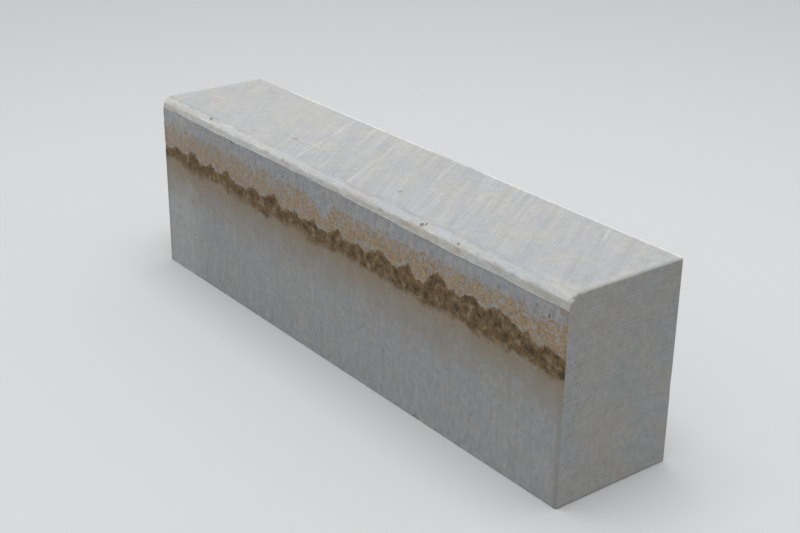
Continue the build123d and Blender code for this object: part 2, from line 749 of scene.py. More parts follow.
@dataclass(frozen=True)
class Wiring:
    """Adds nodes to one shader tree and joins their sockets."""

    tree: bpy.types.ShaderNodeTree

    def node(self, kind: str, feeds: Feeds, **options: object) -> bpy.types.Node:
        """Add a node.

        Args:
            kind: Blender's name for the type of node.
            feeds: What goes into its inputs, constants or other nodes' outputs.
            options: The node's own settings.

        Returns:
            The node.
        """
        made = self.tree.nodes.new(kind)
        for option, choice in options.items():
            setattr(made, option, choice)
        for name, feed in feeds.items():
            if isinstance(feed, Socket):
                self.tree.links.new(feed, made.inputs[name])
            else:
                made.inputs[name].default_value = feed
        return made

    def math(self, operation: str, *values: Feed) -> Socket:
        """Work out one sum of one, two or three values."""
        return self.node("ShaderNodeMath", dict(enumerate(values)), operation=operation).outputs[0]

    def plus(self, *values: Feed) -> Socket:
        """Add values together.

        Args:
            values: Two or more values.

        Returns:
            Their sum.
        """
        total = values[0]
        for value in values[1:]:
            total = self.math("ADD", total, value)
        return total

    def minus(self, first: Feed, second: Feed) -> Socket:
        """Take the second value from the first."""
        return self.math("SUBTRACT", first, second)

    def times(self, *values: Feed) -> Socket:
        """Multiply values together.

        Args:
            values: One or more values.

        Returns:
            Their product.
        """
        product = values[0]
        for value in values[1:]:
            product = self.math("MULTIPLY", product, value)
        return product

    def most(self, first: Feed, second: Feed) -> Socket:
        """Take the larger of two values."""
        return self.math("MAXIMUM", first, second)

    def rise(self, value: Feed, low: Feed, high: Feed) -> Socket:
        """Rise smoothly from 0 at the low value to 1 at the high one, or fall where low is above high."""
        feeds = {"Value": value, "From Min": low, "From Max": high}
        return self.node("ShaderNodeMapRange", feeds, interpolation_type="SMOOTHSTEP").outputs["Result"]

    def strip(self, value: Feed, start: float, full: float, fading: float, gone: float) -> Socket:
        """Rise to 1 from a start to where it is full, and fall to 0 from where it fades."""
        return self.times(self.rise(value, start, full), self.rise(value, gone, fading))

    def split(self, place: Socket) -> tuple[Socket, Socket, Socket]:
        """Take a place apart into its three distances."""
        outputs = self.node("ShaderNodeSeparateXYZ", {"Vector": place}).outputs
        return outputs["X"], outputs["Y"], outputs["Z"]

    def join(self, x: Feed, y: Feed, z: Feed) -> Socket:
        """Put three distances together into a place."""
        return self.node("ShaderNodeCombineXYZ", {"X": x, "Y": y, "Z": z}).outputs["Vector"]

    def vector(self, operation: str, *values: Feed) -> Socket:
        """Work out one sum of one, two or three places or colours."""
        made = self.node("ShaderNodeVectorMath", dict(enumerate(values)), operation=operation)
        return made.outputs["Vector"]

    def plus_place(self, place: Socket, shift: float) -> Socket:
        """Shift a place, so that two uses of one noise differ."""
        return self.vector("ADD", place, (shift,) * 3)

    def scaled(self, vector: Socket, factor: Feed) -> Socket:
        """Multiply a place or a colour by one value."""
        feeds = {"Vector": vector, "Scale": factor}
        return self.node("ShaderNodeVectorMath", feeds, operation="SCALE").outputs["Vector"]

    def stretched(self, place: Socket, size: Size) -> Socket:
        """Divide a place by one size, or by a size for each axis."""
        return self.vector("DIVIDE", place, size if isinstance(size, tuple) else (size,) * 3)

    def lit(self, colour: Socket, light: Feed, strength: Colour) -> Socket:
        """Lighten or darken the red, green and blue of a colour, each by its own strength."""
        gain = self.vector("MULTIPLY_ADD", light, strength, (1.0, 1.0, 1.0))
        return self.vector("MULTIPLY", colour, gain)

    def bent(self, place: Socket, size: float, reach: float) -> Socket:
        """Push each place aside, so that an even pattern turns irregular.

        Args:
            place: Place to push.
            size: Size of the bends.
            reach: How far they push at most.

        Returns:
            The pushed place.
        """
        feeds = {"Vector": place, "Scale": 1.0 / size, "Detail": 1.0}
        noise_colour = self.node("ShaderNodeTexNoise", feeds).outputs["Color"]
        push = self.vector("MULTIPLY_ADD", noise_colour, (2 * reach,) * 3, (-reach,) * 3)
        return self.vector("ADD", place, push)

    def clouds(
        self, place: Socket, size: Size = 1.0, detail: float = 2.0, roughness: float = 0.5
    ) -> Socket:
        """Draw soft noise.

        Args:
            place: Place on the stone.
            size: Size of its blobs, or their size along each axis.
            detail: How many finer sizes are mixed in.
            roughness: How strong the finer ones are.

        Returns:
            A value of about -1 to 1.
        """
        spread = place if size == 1.0 else self.stretched(place, size)
        feeds = {"Vector": spread, "Scale": 1.0, "Detail": detail, "Roughness": roughness}
        fac = self.node("ShaderNodeTexNoise", feeds).outputs[0]
        return self.times(self.minus(fac, 0.5), 6.0)

    def cells(self, place: Socket) -> tuple[Socket, Socket, Socket, Socket]:
        """Fill space with one cell for each unit of length.

        Args:
            place: Place, already divided by the cells' size.

        Returns:
            Distance to the cell's middle, and three random values that are even over each cell.
        """
        cell = self.node("ShaderNodeTexVoronoi", {"Vector": place, "Scale": 1.0}).outputs
        parts = self.node("ShaderNodeSeparateColor", {"Color": cell["Color"]}).outputs
        return cell["Distance"], parts["Red"], parts["Green"], parts["Blue"]

    def blend(self, share: Feed, first: Feed, second: Feed) -> Socket:
        """Mix two colours by a share of the second."""
        feeds = {0: share, 6: first, 7: second}
        return self.node("ShaderNodeMix", feeds, data_type="RGBA").outputs[2]

    def between(self, share: Feed, first: Feed, second: Feed) -> Socket:
        """Mix two values by a share of the second."""
        feeds = {0: share, 2: first, 3: second}
        return self.node("ShaderNodeMix", feeds, data_type="FLOAT").outputs[0]

    def background_share(self) -> Socket:
        """Tell which rays see the background straight, in a reflection or through glass.

        Returns:
            1 for those rays and 0 for the others.
        """
        rays = self.node("ShaderNodeLightPath", {}).outputs
        seen = self.most(rays["Is Camera Ray"], rays["Is Glossy Ray"])
        return self.most(seen, rays["Is Transmission Ray"])

    def mark(self, mark: Mark) -> Socket:
        """Read one of the mesh's marks."""
        return self.node("ShaderNodeAttribute", {}, attribute_name=mark.value).outputs["Fac"]


class Effect(ABC):
    """A look that finishes share, kept as a shader node group with named sockets."""

    title: ClassVar[str]
    takes: ClassVar[tuple[Port, ...]]
    gives: ClassVar[tuple[Port, ...]]

    @abstractmethod
    def wire(self, wiring: Wiring, taken: Outputs) -> Feeds:
        """Join the nodes inside the group.

        Args:
            wiring: Wiring of the group.
            taken: What comes into the group, by name.

        Returns:
            What goes out of the group, by name.
        """

    def tree(self) -> bpy.types.ShaderNodeTree:
        """Build the node group on its first use.

        Returns:
            The node group.
        """
        built = bpy.data.node_groups.get(self.title)
        if built is not None:
            return built
        tree = bpy.data.node_groups.new(self.title, "ShaderNodeTree")
        for way, ports in (("INPUT", self.takes), ("OUTPUT", self.gives)):
            for port in ports:
                tree.interface.new_socket(port.name, in_out=way, socket_type=port.kind.value)
        wiring = Wiring(tree)
        taken = wiring.node("NodeGroupInput", {}).outputs
        wiring.node("NodeGroupOutput", self.wire(wiring, taken))
        return tree

    def place(self, wiring: Wiring, feeds: Feeds) -> Outputs:
        """Put the group into a material.

        Args:
            wiring: Wiring of the material.
            feeds: What goes into the group, by name.

        Returns:
            The group's outputs, by name.
        """
        return wiring.node("ShaderNodeGroup", feeds, node_tree=self.tree()).outputs


class StoneGrain(Effect):
    """Fine crystals of the granite, faint specks and soft clouds of cooler and warmer grey."""

    title = "stone grain"
    takes = (
        Port("Place", SocketKind.PLACE),
        Port("Cool Grey", SocketKind.COLOUR),
        Port("Warm Grey", SocketKind.COLOUR),
        Port("Crystal Contrast"),
        Port("Speck Strength"),
    )
    gives = (Port("Color", SocketKind.COLOUR), Port("Height"))
    crystal = 1.5
    speck_gap = 5.5
    cloud = 60.0

    def wire(self, wiring: Wiring, taken: Outputs) -> Feeds:
        """Join the crystals, the specks and the clouds. See the base class for Args and Returns."""
        w = wiring
        place = taken["Place"]
        _, value, _, _ = w.cells(w.stretched(w.bent(place, 2.0, 0.8), self.crystal))
        dust = w.clouds(place, 1.1, 3.0, 0.7)
        mottle = w.clouds(place, 9.0, 3.0, 0.6)
        gap, kind, size, _ = w.cells(w.stretched(w.bent(place, 1.8, 1.5), self.speck_gap))
        radius = w.plus(0.06, w.times(size, size, 0.14))
        speck = w.times(w.rise(gap, w.plus(radius, 0.14), radius), w.rise(kind, 0.22, 0.18))
        cast = w.rise(w.clouds(place, self.cloud, 3.0, 0.6), -0.8, 0.8)
        grey = w.blend(cast, taken["Cool Grey"], taken["Warm Grey"])
        spread = w.plus(w.minus(value, 0.5), w.times(dust, 0.9), w.times(mottle, 0.7))
        light = w.plus(1.0, w.times(spread, taken["Crystal Contrast"]))
        light = w.times(light, w.minus(1.0, w.times(speck, taken["Speck Strength"])))
        height = w.minus(w.times(spread, 0.5), speck)
        return {"Color": w.scaled(grey, light), "Height": height}


class GrindingStrokes(Effect):
    """Long fine strokes of an abrasive, some of them bright, in lanes of lighter and darker stone."""

    title = "grinding strokes"
    takes = (Port("Across"), Port("Along"), Port("Pitch"), Port("Length"))
    gives = (Port("Light"), Port("Height"))

    def wire(self, wiring: Wiring, taken: Outputs) -> Feeds:
        """Join four widths of stroke. See the base class for Args and Returns."""
        w = wiring
        stray = w.times(w.clouds(w.join(taken["Across"], taken["Along"], 0.0), 45.0, 1.0), 0.8)
        across = w.math("DIVIDE", w.plus(taken["Across"], stray), taken["Pitch"])
        along = w.math("DIVIDE", taken["Along"], taken["Length"])
        crossing, leaning = w.plus(across, w.times(along, 1.4)), w.plus(across, w.times(along, -1.7))
        fine = w.clouds(w.join(w.times(crossing, 1.3), w.times(along, 0.7), 3.0), 1.0, 1.0)
        medium = w.clouds(w.join(w.times(across, 0.6), w.times(along, 0.32), 11.0), 1.0, 1.0)
        lanes = w.clouds(w.join(w.times(across, 0.2), w.times(along, 0.3), 23.0), 1.0, 1.0)
        bold = w.clouds(w.join(leaning, w.times(along, 0.22), 31.0), 1.0, 0.0)
        bright = w.rise(bold, 0.65, 1.5)
        light = w.plus(w.times(fine, 0.32), w.times(medium, 0.42), w.times(lanes, 0.34))
        light = w.plus(light, w.times(bright, 1.15))
        height = w.plus(w.times(fine, 0.6), w.times(medium, 0.4))
        return {"Light": light, "Height": height}


class SawMarks(Effect):
    """Shallow arcs that a large disc saw leaves as it steps through the stone."""

    title = "saw marks"
    takes = (Port("Across"), Port("Along"), Port("Blade Radius"), Port("Step"))
    gives = (Port("Light"),)

    def wire(self, wiring: Wiring, taken: Outputs) -> Feeds:
        """Join the arcs. See the base class for Args and Returns."""
        w = wiring
        off_centre = w.plus(taken["Along"], taken["Blade Radius"])
        squares = w.plus(w.times(taken["Across"], taken["Across"]), w.times(off_centre, off_centre))
        radius = w.math("DIVIDE", w.math("SQRT", squares), taken["Step"])
        drift = w.times(taken["Across"], 0.004)
        coarse = w.clouds(w.join(radius, drift, 5.0), 1.0, 2.0)
        fine = w.clouds(w.join(w.times(radius, 4.3), drift, 9.0), 1.0, 2.0)
        return {"Light": w.plus(w.times(coarse, 0.6), w.times(fine, 0.5))}


class BrokenStone(Effect):
    """Fresh rough stone in the chips, dirt in the pits and a paler line along the arrises, bruised stone
    with a painted highlight.
    """

    title = "broken stone"
    takes = (Port("Place", SocketKind.PLACE), Port("Stone Color", SocketKind.COLOUR))
    gives = (Port("Color", SocketKind.COLOUR), Port("Height"), Port("Broken"))

    def wire(self, wiring: Wiring, taken: Outputs) -> Feeds:
        """Read the mesh's marks and paint them. See the base class for Args and Returns."""
        w = wiring
        place = taken["Place"]
        crumbs = w.clouds(place, 1.2, 3.0, 0.7)
        broken = w.rise(w.plus(w.mark(Mark.BROKEN), w.times(crumbs, 0.08)), 0.2, 0.6)
        fresh = w.scaled(taken["Stone Color"], w.plus(1.1, w.times(crumbs, 0.12)))
        colour = w.blend(w.times(broken, 0.85), taken["Stone Color"], fresh)
        # Paler line along the arris: bruised stone with a painted highlight.
        worn_and_highlit = w.rise(w.plus(w.mark(Mark.ARRIS), w.times(w.clouds(place, 5.0, 3.0), 0.2)), 0.35, 0.95)
        colour = w.blend(w.times(worn_and_highlit, 0.9), colour, w.scaled(colour, 1.22))
        pitted = w.rise(w.mark(Mark.PITTED), 0.15, 0.8)
        colour = w.blend(w.times(pitted, 0.75), colour, (0.19, 0.175, 0.15, 1.0))
        return {"Color": colour, "Height": w.times(broken, crumbs), "Broken": broken}


class Stain(Effect):
    """A soft-edged spot on the stone."""

    title = "stain"
    takes = tuple(Port(name, SocketKind.PLACE) for name in ("Place", "Middle", "Reach"))
    gives = (Port("Mask"),)

    def wire(self, wiring: Wiring, taken: Outputs) -> Feeds:
        """Measure how far off the middle each place is. See the base class for Args and Returns."""
        w = wiring
        share = w.vector("DIVIDE", w.vector("SUBTRACT", taken["Place"], taken["Middle"]), taken["Reach"])
        gap = w.node("ShaderNodeVectorMath", {0: share}, operation="LENGTH").outputs["Value"]
        ragged = w.times(w.clouds(taken["Place"], 5.0, 3.0, 0.6), 0.25)
        return {"Mask": w.rise(w.plus(gap, ragged), 1.15, 0.35)}


class MudSplash(Effect):
    """Drops of mud that rain threw up from the road, a close network below and frayed at the top."""

    title = "mud splash"
    takes = (Port("Place", SocketKind.PLACE), Port("Top"), Port("Cover"))
    gives = (Port("Mask"), Port("Height"))
    drop = 5.7
    tallness = 1.15

    def wire(self, wiring: Wiring, taken: Outputs) -> Feeds:
        """Join drops that run into each other. See the base class for Args and Returns."""
        w = wiring
        x, _, z = w.split(taken["Place"])
        face = w.join(x, 0.0, z)
        ragged = w.times(w.plus(w.clouds(face, 24.0, 3.0, 0.6), w.clouds(face, 4.5, 2.0)), 3.0)
        below = w.minus(taken["Top"], w.plus(z, ragged))
        thick = w.plus(w.times(w.rise(below, -5.0, 5.0), 0.82), w.times(w.rise(below, 4.0, 34.0), 0.18))
        cover = w.times(thick, taken["Cover"])
        flat = w.bent(w.join(x, 0.0, w.math("DIVIDE", z, self.tallness)), 4.0, 1.5)
        gap, kind, _, _ = w.cells(w.stretched(flat, self.drop))
        grain = w.plus(w.times(w.minus(0.42, gap), 1.7), w.times(w.minus(kind, 0.5), 0.5))
        grain = w.plus(grain, w.times(w.clouds(flat, 3.8, 2.0, 0.55), 0.38))
        bare = w.between(cover, 1.2, -0.50)
        mask = w.rise(w.minus(grain, bare), -0.14, 0.22)
        return {"Mask": w.times(mask, w.rise(cover, 0.0, 0.2)), "Height": mask}


@dataclass(frozen=True)
class Peak:
    """A peak of damp earth on the road face.

    Attributes:
        along: Place of the peak along the stone.
        top: Height of its tip.
        far_slope: How steeply it falls towards the far end, in height for each length.
        near_slope: How steeply it falls towards the near end.
    """

    along: float
    top: float
    far_slope: float
    near_slope: float


@dataclass(frozen=True)
class EarthBand(Effect):
    """Damp earth along the road line, drawn up in peaks, with a fading stain below the road.

    Attributes:
        road_line: Height of the road at the middle of the stone.
        road_fall: How much the road drops for each length towards the near end.
        valley: Height of the band between its peaks.
        peaks: The peaks.
    """

    road_line: float = 197.0
    road_fall: float = 0.012
    valley: float = 215.0
    peaks: tuple[Peak, ...] = (
        Peak(-452.0, 224.0, 0.4, 0.5),
        Peak(-400.0, 232.0, 0.6, 0.9),
        Peak(-345.0, 224.0, 0.5, 0.6),
        Peak(-293.0, 228.0, 0.6, 0.8),
        Peak(-215.0, 223.0, 0.4, 0.4),
        Peak(-150.0, 231.0, 0.5, 0.9),
        Peak(-95.0, 222.0, 0.4, 0.6),
        Peak(-43.0, 224.0, 0.5, 1.0),
        Peak(21.0, 228.0, 0.6, 0.8),
        Peak(70.0, 222.0, 0.4, 0.4),
        Peak(121.0, 231.0, 0.5, 0.45),
        Peak(189.0, 233.0, 0.6, 1.4),
        Peak(251.0, 243.0, 0.9, 0.7),
        Peak(265.0, 234.0, 0.6, 3.0),
        Peak(285.0, 230.0, 0.35, 0.6),
        Peak(324.0, 236.0, 0.5, 0.45),
        Peak(364.0, 238.0, 1.0, 0.3),
        Peak(394.0, 234.5, 0.4, 0.8),
        Peak(429.0, 226.0, 0.5, 0.7),
        Peak(470.0, 220.0, 0.4, 0.4),
    )

    title: ClassVar[str] = "earth band"
    takes: ClassVar[tuple[Port, ...]] = (Port("Place", SocketKind.PLACE),)
    gives: ClassVar[tuple[Port, ...]] = tuple(map(Port, ("Damp", "Stain", "Blotches", "Rim", "Fringe")))

    def wire(self, wiring: Wiring, taken: Outputs) -> Feeds:
        """Join the peaks, the ragged edges and the blotches. See the base class for Args and Returns."""
        w = wiring
        x, _, z = w.split(taken["Place"])
        flat = w.join(x, 0.0, z)
        road = w.minus(self.road_line, w.times(x, self.road_fall))
        top: Feed = self.valley
        for peak in self.peaks:
            off = w.minus(x, peak.along)
            fall = w.math("SMOOTH_MAX", w.times(off, peak.near_slope), w.times(off, -peak.far_slope), 1.5)
            top = w.math("SMOOTH_MAX", top, w.minus(peak.top, fall), 3.0)
        coarse = w.clouds(flat, 15.0, 3.0, 0.6)
        ragged = w.plus(w.times(coarse, 2.6), w.times(w.clouds(flat, 4.5, 3.0, 0.65), 1.9))
        level = w.plus(z, ragged)
        above = w.minus(level, top)
        under_top = w.rise(above, 2.4, -2.4)
        rim = w.strip(above, 0.0, 1.5, 2.0, 6.0)
        uneven = w.times(w.clouds(w.join(x, 7.0, z), 40.0, 4.0, 0.6), 7.0)
        over_road = w.rise(w.minus(w.plus(level, uneven), road), -15.0, 0.0)
        stain = w.rise(w.minus(w.plus(level, w.times(uneven, 2.5)), road), -95.0, -5.0)
        lumps = w.clouds(w.bent(flat, 8.0, 4.0), 13.0, 4.0, 0.6)
        crumbs = w.clouds(flat, 2.8, 2.0)
        blotches = w.plus(w.times(lumps, 1.1), w.times(crumbs, 0.28), w.times(coarse, 0.5))
        damp, stain = w.times(under_top, over_road), w.times(stain, under_top)
        fringe = w.rise(above, -9.0, -0.5)
        return {"Damp": damp, "Stain": stain, "Blotches": blotches, "Rim": rim, "Fringe": fringe}


@dataclass(frozen=True)
class Skin:
    """What a finish feeds to its shader: colour, roughness and height in millimetres."""

    colour: Socket
    roughness: Feed
    height: Socket


@dataclass(frozen=True)
class Spot:
    """A stain at one place on the stone; on the nose some spots are painted highlights instead.

    Attributes:
        middle: Its middle.
        reach: How far it spreads along each axis.
        tint: Its colour.
        strength: How strongly it covers the stone.
    """

    middle: tuple[float, float, float]
    reach: tuple[float, float, float]
    tint: Colour
    strength: float

    def paint(self, wiring: Wiring, place: Socket, colour: Socket) -> Socket:
        """Lay the spot over a colour.

        Args:
            wiring: Wiring of the material.
            place: Place on the stone in millimetres.
            colour: Colour of the stone.

        Returns:
            The stained colour.
        """
        mask = Stain().place(wiring, {"Place": place, "Middle": self.middle, "Reach": self.reach})["Mask"]
        return wiring.blend(wiring.times(mask, self.strength), colour, (*self.tint, 1.0))


OCHRE = (0.44, 0.32, 0.21)
RUST = (0.30, 0.16, 0.10)
PINK = (0.62, 0.36, 0.36)
SOOT = (0.20, 0.19, 0.18)
# Colour of the painted bluish-white highlights on the nose.
HIGHLIGHT_BLUE = (0.635, 0.685, 0.755)


@dataclass(frozen=True)
class Stretch:
    """A stretch of the stone with soft ends, measured along it, across it or up it.

    Attributes:
        start: Where it starts to show.
        full: Where it shows fully.
        fading: Where it starts to fade, if it does.
        gone: Where nothing of it is left.
    """

    start: float
    full: float
    fading: float | None = None
    gone: float | None = None

    def value(self, wiring: Wiring, measure: Socket) -> Socket:
        """Mask the stretch.

        Args:
            wiring: Wiring of the material.
            measure: What the stretch is measured by.

        Returns:
            1 inside the stretch and 0 outside.
        """
        if self.gone is None:
            return wiring.rise(measure, self.start, self.full)
        return wiring.strip(measure, self.start, self.full, self.fading, self.gone)


@dataclass(frozen=True)
class Patches:
    """Irregular patches.

    Attributes:
        size: Their size, or their size along each axis.
        detail: How many finer sizes are mixed in.
        roughness: How strong the finer ones are.
        shift: Moves the pattern, so that it differs from others.
        shown: Values between which a mask of the patches rises from 0 to 1.
    """

    size: Size
    detail: float = 3.0
    roughness: float = 0.5
    shift: float = 0.0
    shown: Point = (-1.0, 1.0)

    def value(self, wiring: Wiring, place: Socket) -> Socket:
        """Return a value of about -1 to 1 at each place."""
        moved = wiring.plus_place(place, self.shift) if self.shift else place
        return wiring.clouds(moved, self.size, self.detail, self.roughness)

    def mask(self, wiring: Wiring, place: Socket) -> Socket:
        """Return 1 on the patches and 0 between them."""
        return wiring.rise(self.value(wiring, place), *self.shown)


@dataclass(frozen=True)
class Wash:
    """Stone that is a little lighter or darker than the rest.

    Attributes:
        tint: How much lighter it is in red, green and blue, or darker below zero.
        where: The stretch or the patches where it is so.
    """

    tint: Colour
    where: Stretch | Patches

    def over(self, wiring: Wiring, colour: Socket, at: Socket, *shares: Feed) -> Socket:
        """Lay the wash over a colour.

        Args:
            wiring: Wiring of the material.
            colour: Colour of the stone.
            at: What the stretch is measured by, or the place that the patches are drawn at.
            shares: Masks that thin the wash.

        Returns:
            The washed colour.
        """
        return wiring.lit(colour, wiring.times(self.where.value(wiring, at), *shares), self.tint)


@dataclass(frozen=True)
class Fade:
    """A strength that changes along the stone.

    Attributes:
        start: Where the change starts.
        end: Where it ends.
        before: The strength before the start.
        after: The strength past the end.
    """

    start: float
    end: float
    before: float
    after: float

    def at(self, wiring: Wiring, along: Socket) -> Socket:
        """Return the strength at each place along the stone."""
        return wiring.between(wiring.rise(along, self.start, self.end), self.before, self.after)


@dataclass(frozen=True)
class Slant:
    """The lean of a set of strokes, which spread like a fan.

    Attributes:
        lean: How far they run along the stone for each length across it.
        fall: How much the lean falls for each length towards the near end, or grows below zero.
    """

    lean: float
    fall: float

    def across(self, wiring: Wiring, x: Socket, y: Socket) -> Socket:
        """Measure how far across the strokes each place lies."""
        fanned = wiring.plus(1.0, wiring.times(y, self.fall))
        return wiring.math("DIVIDE", wiring.plus(x, wiring.times(y, self.lean)), fanned)


@dataclass(frozen=True)
class ToolMarks:
    """The fine marks that a tool left all over a face.

    Attributes:
        pitch: Their width.
        length: Their length.
        tint: How much lighter they are.
        relief: Their height.
    """

    pitch: float
    length: float
    tint: Colour
    relief: float

    def place(self, wiring: Wiring, across: Socket, along: Socket) -> Outputs:
        """Put the marks into a material.

        Args:
            wiring: Wiring of the material.
            across: Place across the marks.
            along: Place along them.

        Returns:
            The outputs of the grinding strokes.
        """
        feeds = {"Across": across, "Along": along, "Pitch": self.pitch, "Length": self.length}
        return GrindingStrokes().place(wiring, feeds)


@dataclass(frozen=True)
class Finish(ABC):
    """A finish of one side of the stone.

    Attributes:
        cool_grey: Colour of the bluer patches of stone.
        warm_grey: Colour of the warmer patches.
        crystal_contrast: How much the crystals differ in light.
        speck_strength: How dark the specks are.
        shine_off: Roughness of the clean stone.
        broken_shine_off: Roughness of the broken stone.
        broken_relief: Height of its crumbs.
        grain_relief: Height of the crystals.
        specular: Strength of the sheen.
        spots: Stains, and on the nose also painted highlights.
    """

    title: ClassVar[str]
    cool_grey: Colour = (0.492, 0.502, 0.511)
    warm_grey: Colour = (0.524, 0.517, 0.502)
    crystal_contrast: float = 0.05
    speck_strength: float = 0.15
    shine_off: float = 0.75
    broken_shine_off: float = 0.95
    broken_relief: float = 0.25
    grain_relief: float = 0.04
    specular: float = 0.2
    spots: tuple[Spot, ...] = ()

    @abstractmethod
    def dress(self, wiring: Wiring, place: Socket) -> Skin:
        """Join the nodes of the finish.

        Args:
            wiring: Wiring of the material.
            place: Place on the stone in millimetres.

        Returns:
            What the shader takes.
        """

    def stone(self, wiring: Wiring, place: Socket) -> Outputs:
        """Lay down the bare stone.

        Args:
            wiring: Wiring of the material.
            place: Place on the stone in millimetres.

        Returns:
            The outputs of the stone grain.
        """
        feeds = {
            "Place": place,
            "Cool Grey": (*self.cool_grey, 1.0),
            "Warm Grey": (*self.warm_grey, 1.0),
            "Crystal Contrast": self.crystal_contrast,
            "Speck Strength": self.speck_strength,
        }
        return StoneGrain().place(wiring, feeds)

    def spotted(self, wiring: Wiring, place: Socket, colour: Socket) -> Socket:
        """Lay the spots over a colour: stains, and on the nose also painted highlights.

        Args:
            wiring: Wiring of the material.
            place: Place on the stone in millimetres.
            colour: Colour of the stone.

        Returns:
            The stained colour.
        """
        for spot in self.spots:
            colour = spot.paint(wiring, place, colour)
        return colour

    def material(self) -> bpy.types.Material:
        """Join the finish to a shader.

        Returns:
            The finish's material.
        """
        material = bpy.data.materials.new(self.title)
        material.use_nodes = True
        material.node_tree.nodes.clear()
        wiring = Wiring(material.node_tree)
        spot = wiring.node("ShaderNodeTexCoord", {}).outputs["Object"]
        place = wiring.scaled(spot, PER_METRE)
        skin = self.dress(wiring, place)
        damaged = BrokenStone().place(wiring, {"Place": place, "Stone Color": skin.colour})
        height = wiring.plus(skin.height, wiring.times(damaged["Height"], self.broken_relief))
        bump = wiring.node("ShaderNodeBump", {"Height": height, "Distance": MM, "Strength": 1.0})
        feeds = {
            "Base Color": damaged["Color"],
            "Roughness": wiring.between(damaged["Broken"], skin.roughness, self.broken_shine_off),
            "Normal": bump.outputs["Normal"],
            "Specular IOR Level": self.specular,
        }
        shader = wiring.node("ShaderNodeBsdfPrincipled", feeds)
        wiring.node("ShaderNodeOutputMaterial", {"Surface": shader.outputs["BSDF"]})
        return material


@dataclass(frozen=True)
class Stroke:
    """One stroke of the grinder that stands out on the top.

    Attributes:
        across: Its place across the strokes.
        start: Where it starts, across the stone.
        end: Where it ends.
        width: Its width.
        strength: How much lighter it is.
        taper: Length of its fading ends.
    """

    across: float
    start: float
    end: float
    width: float
    strength: float
    taper: ClassVar[float] = 12.0


@dataclass(frozen=True)
class Score:
    """A straight or curved scratch on the top, part of a large circle.

    Attributes:
        centre: Middle of the circle.
        radius: Its radius.
        start: Where the scratch starts along the stone.
        end: Where it ends.
        width: Its width.
        strength: How much lighter it is, or darker below zero.
        taper: Length of its fading ends.
    """

    centre: Point
    radius: float
    start: float
    end: float
    width: float
    strength: float
    taper: ClassVar[float] = 8.0


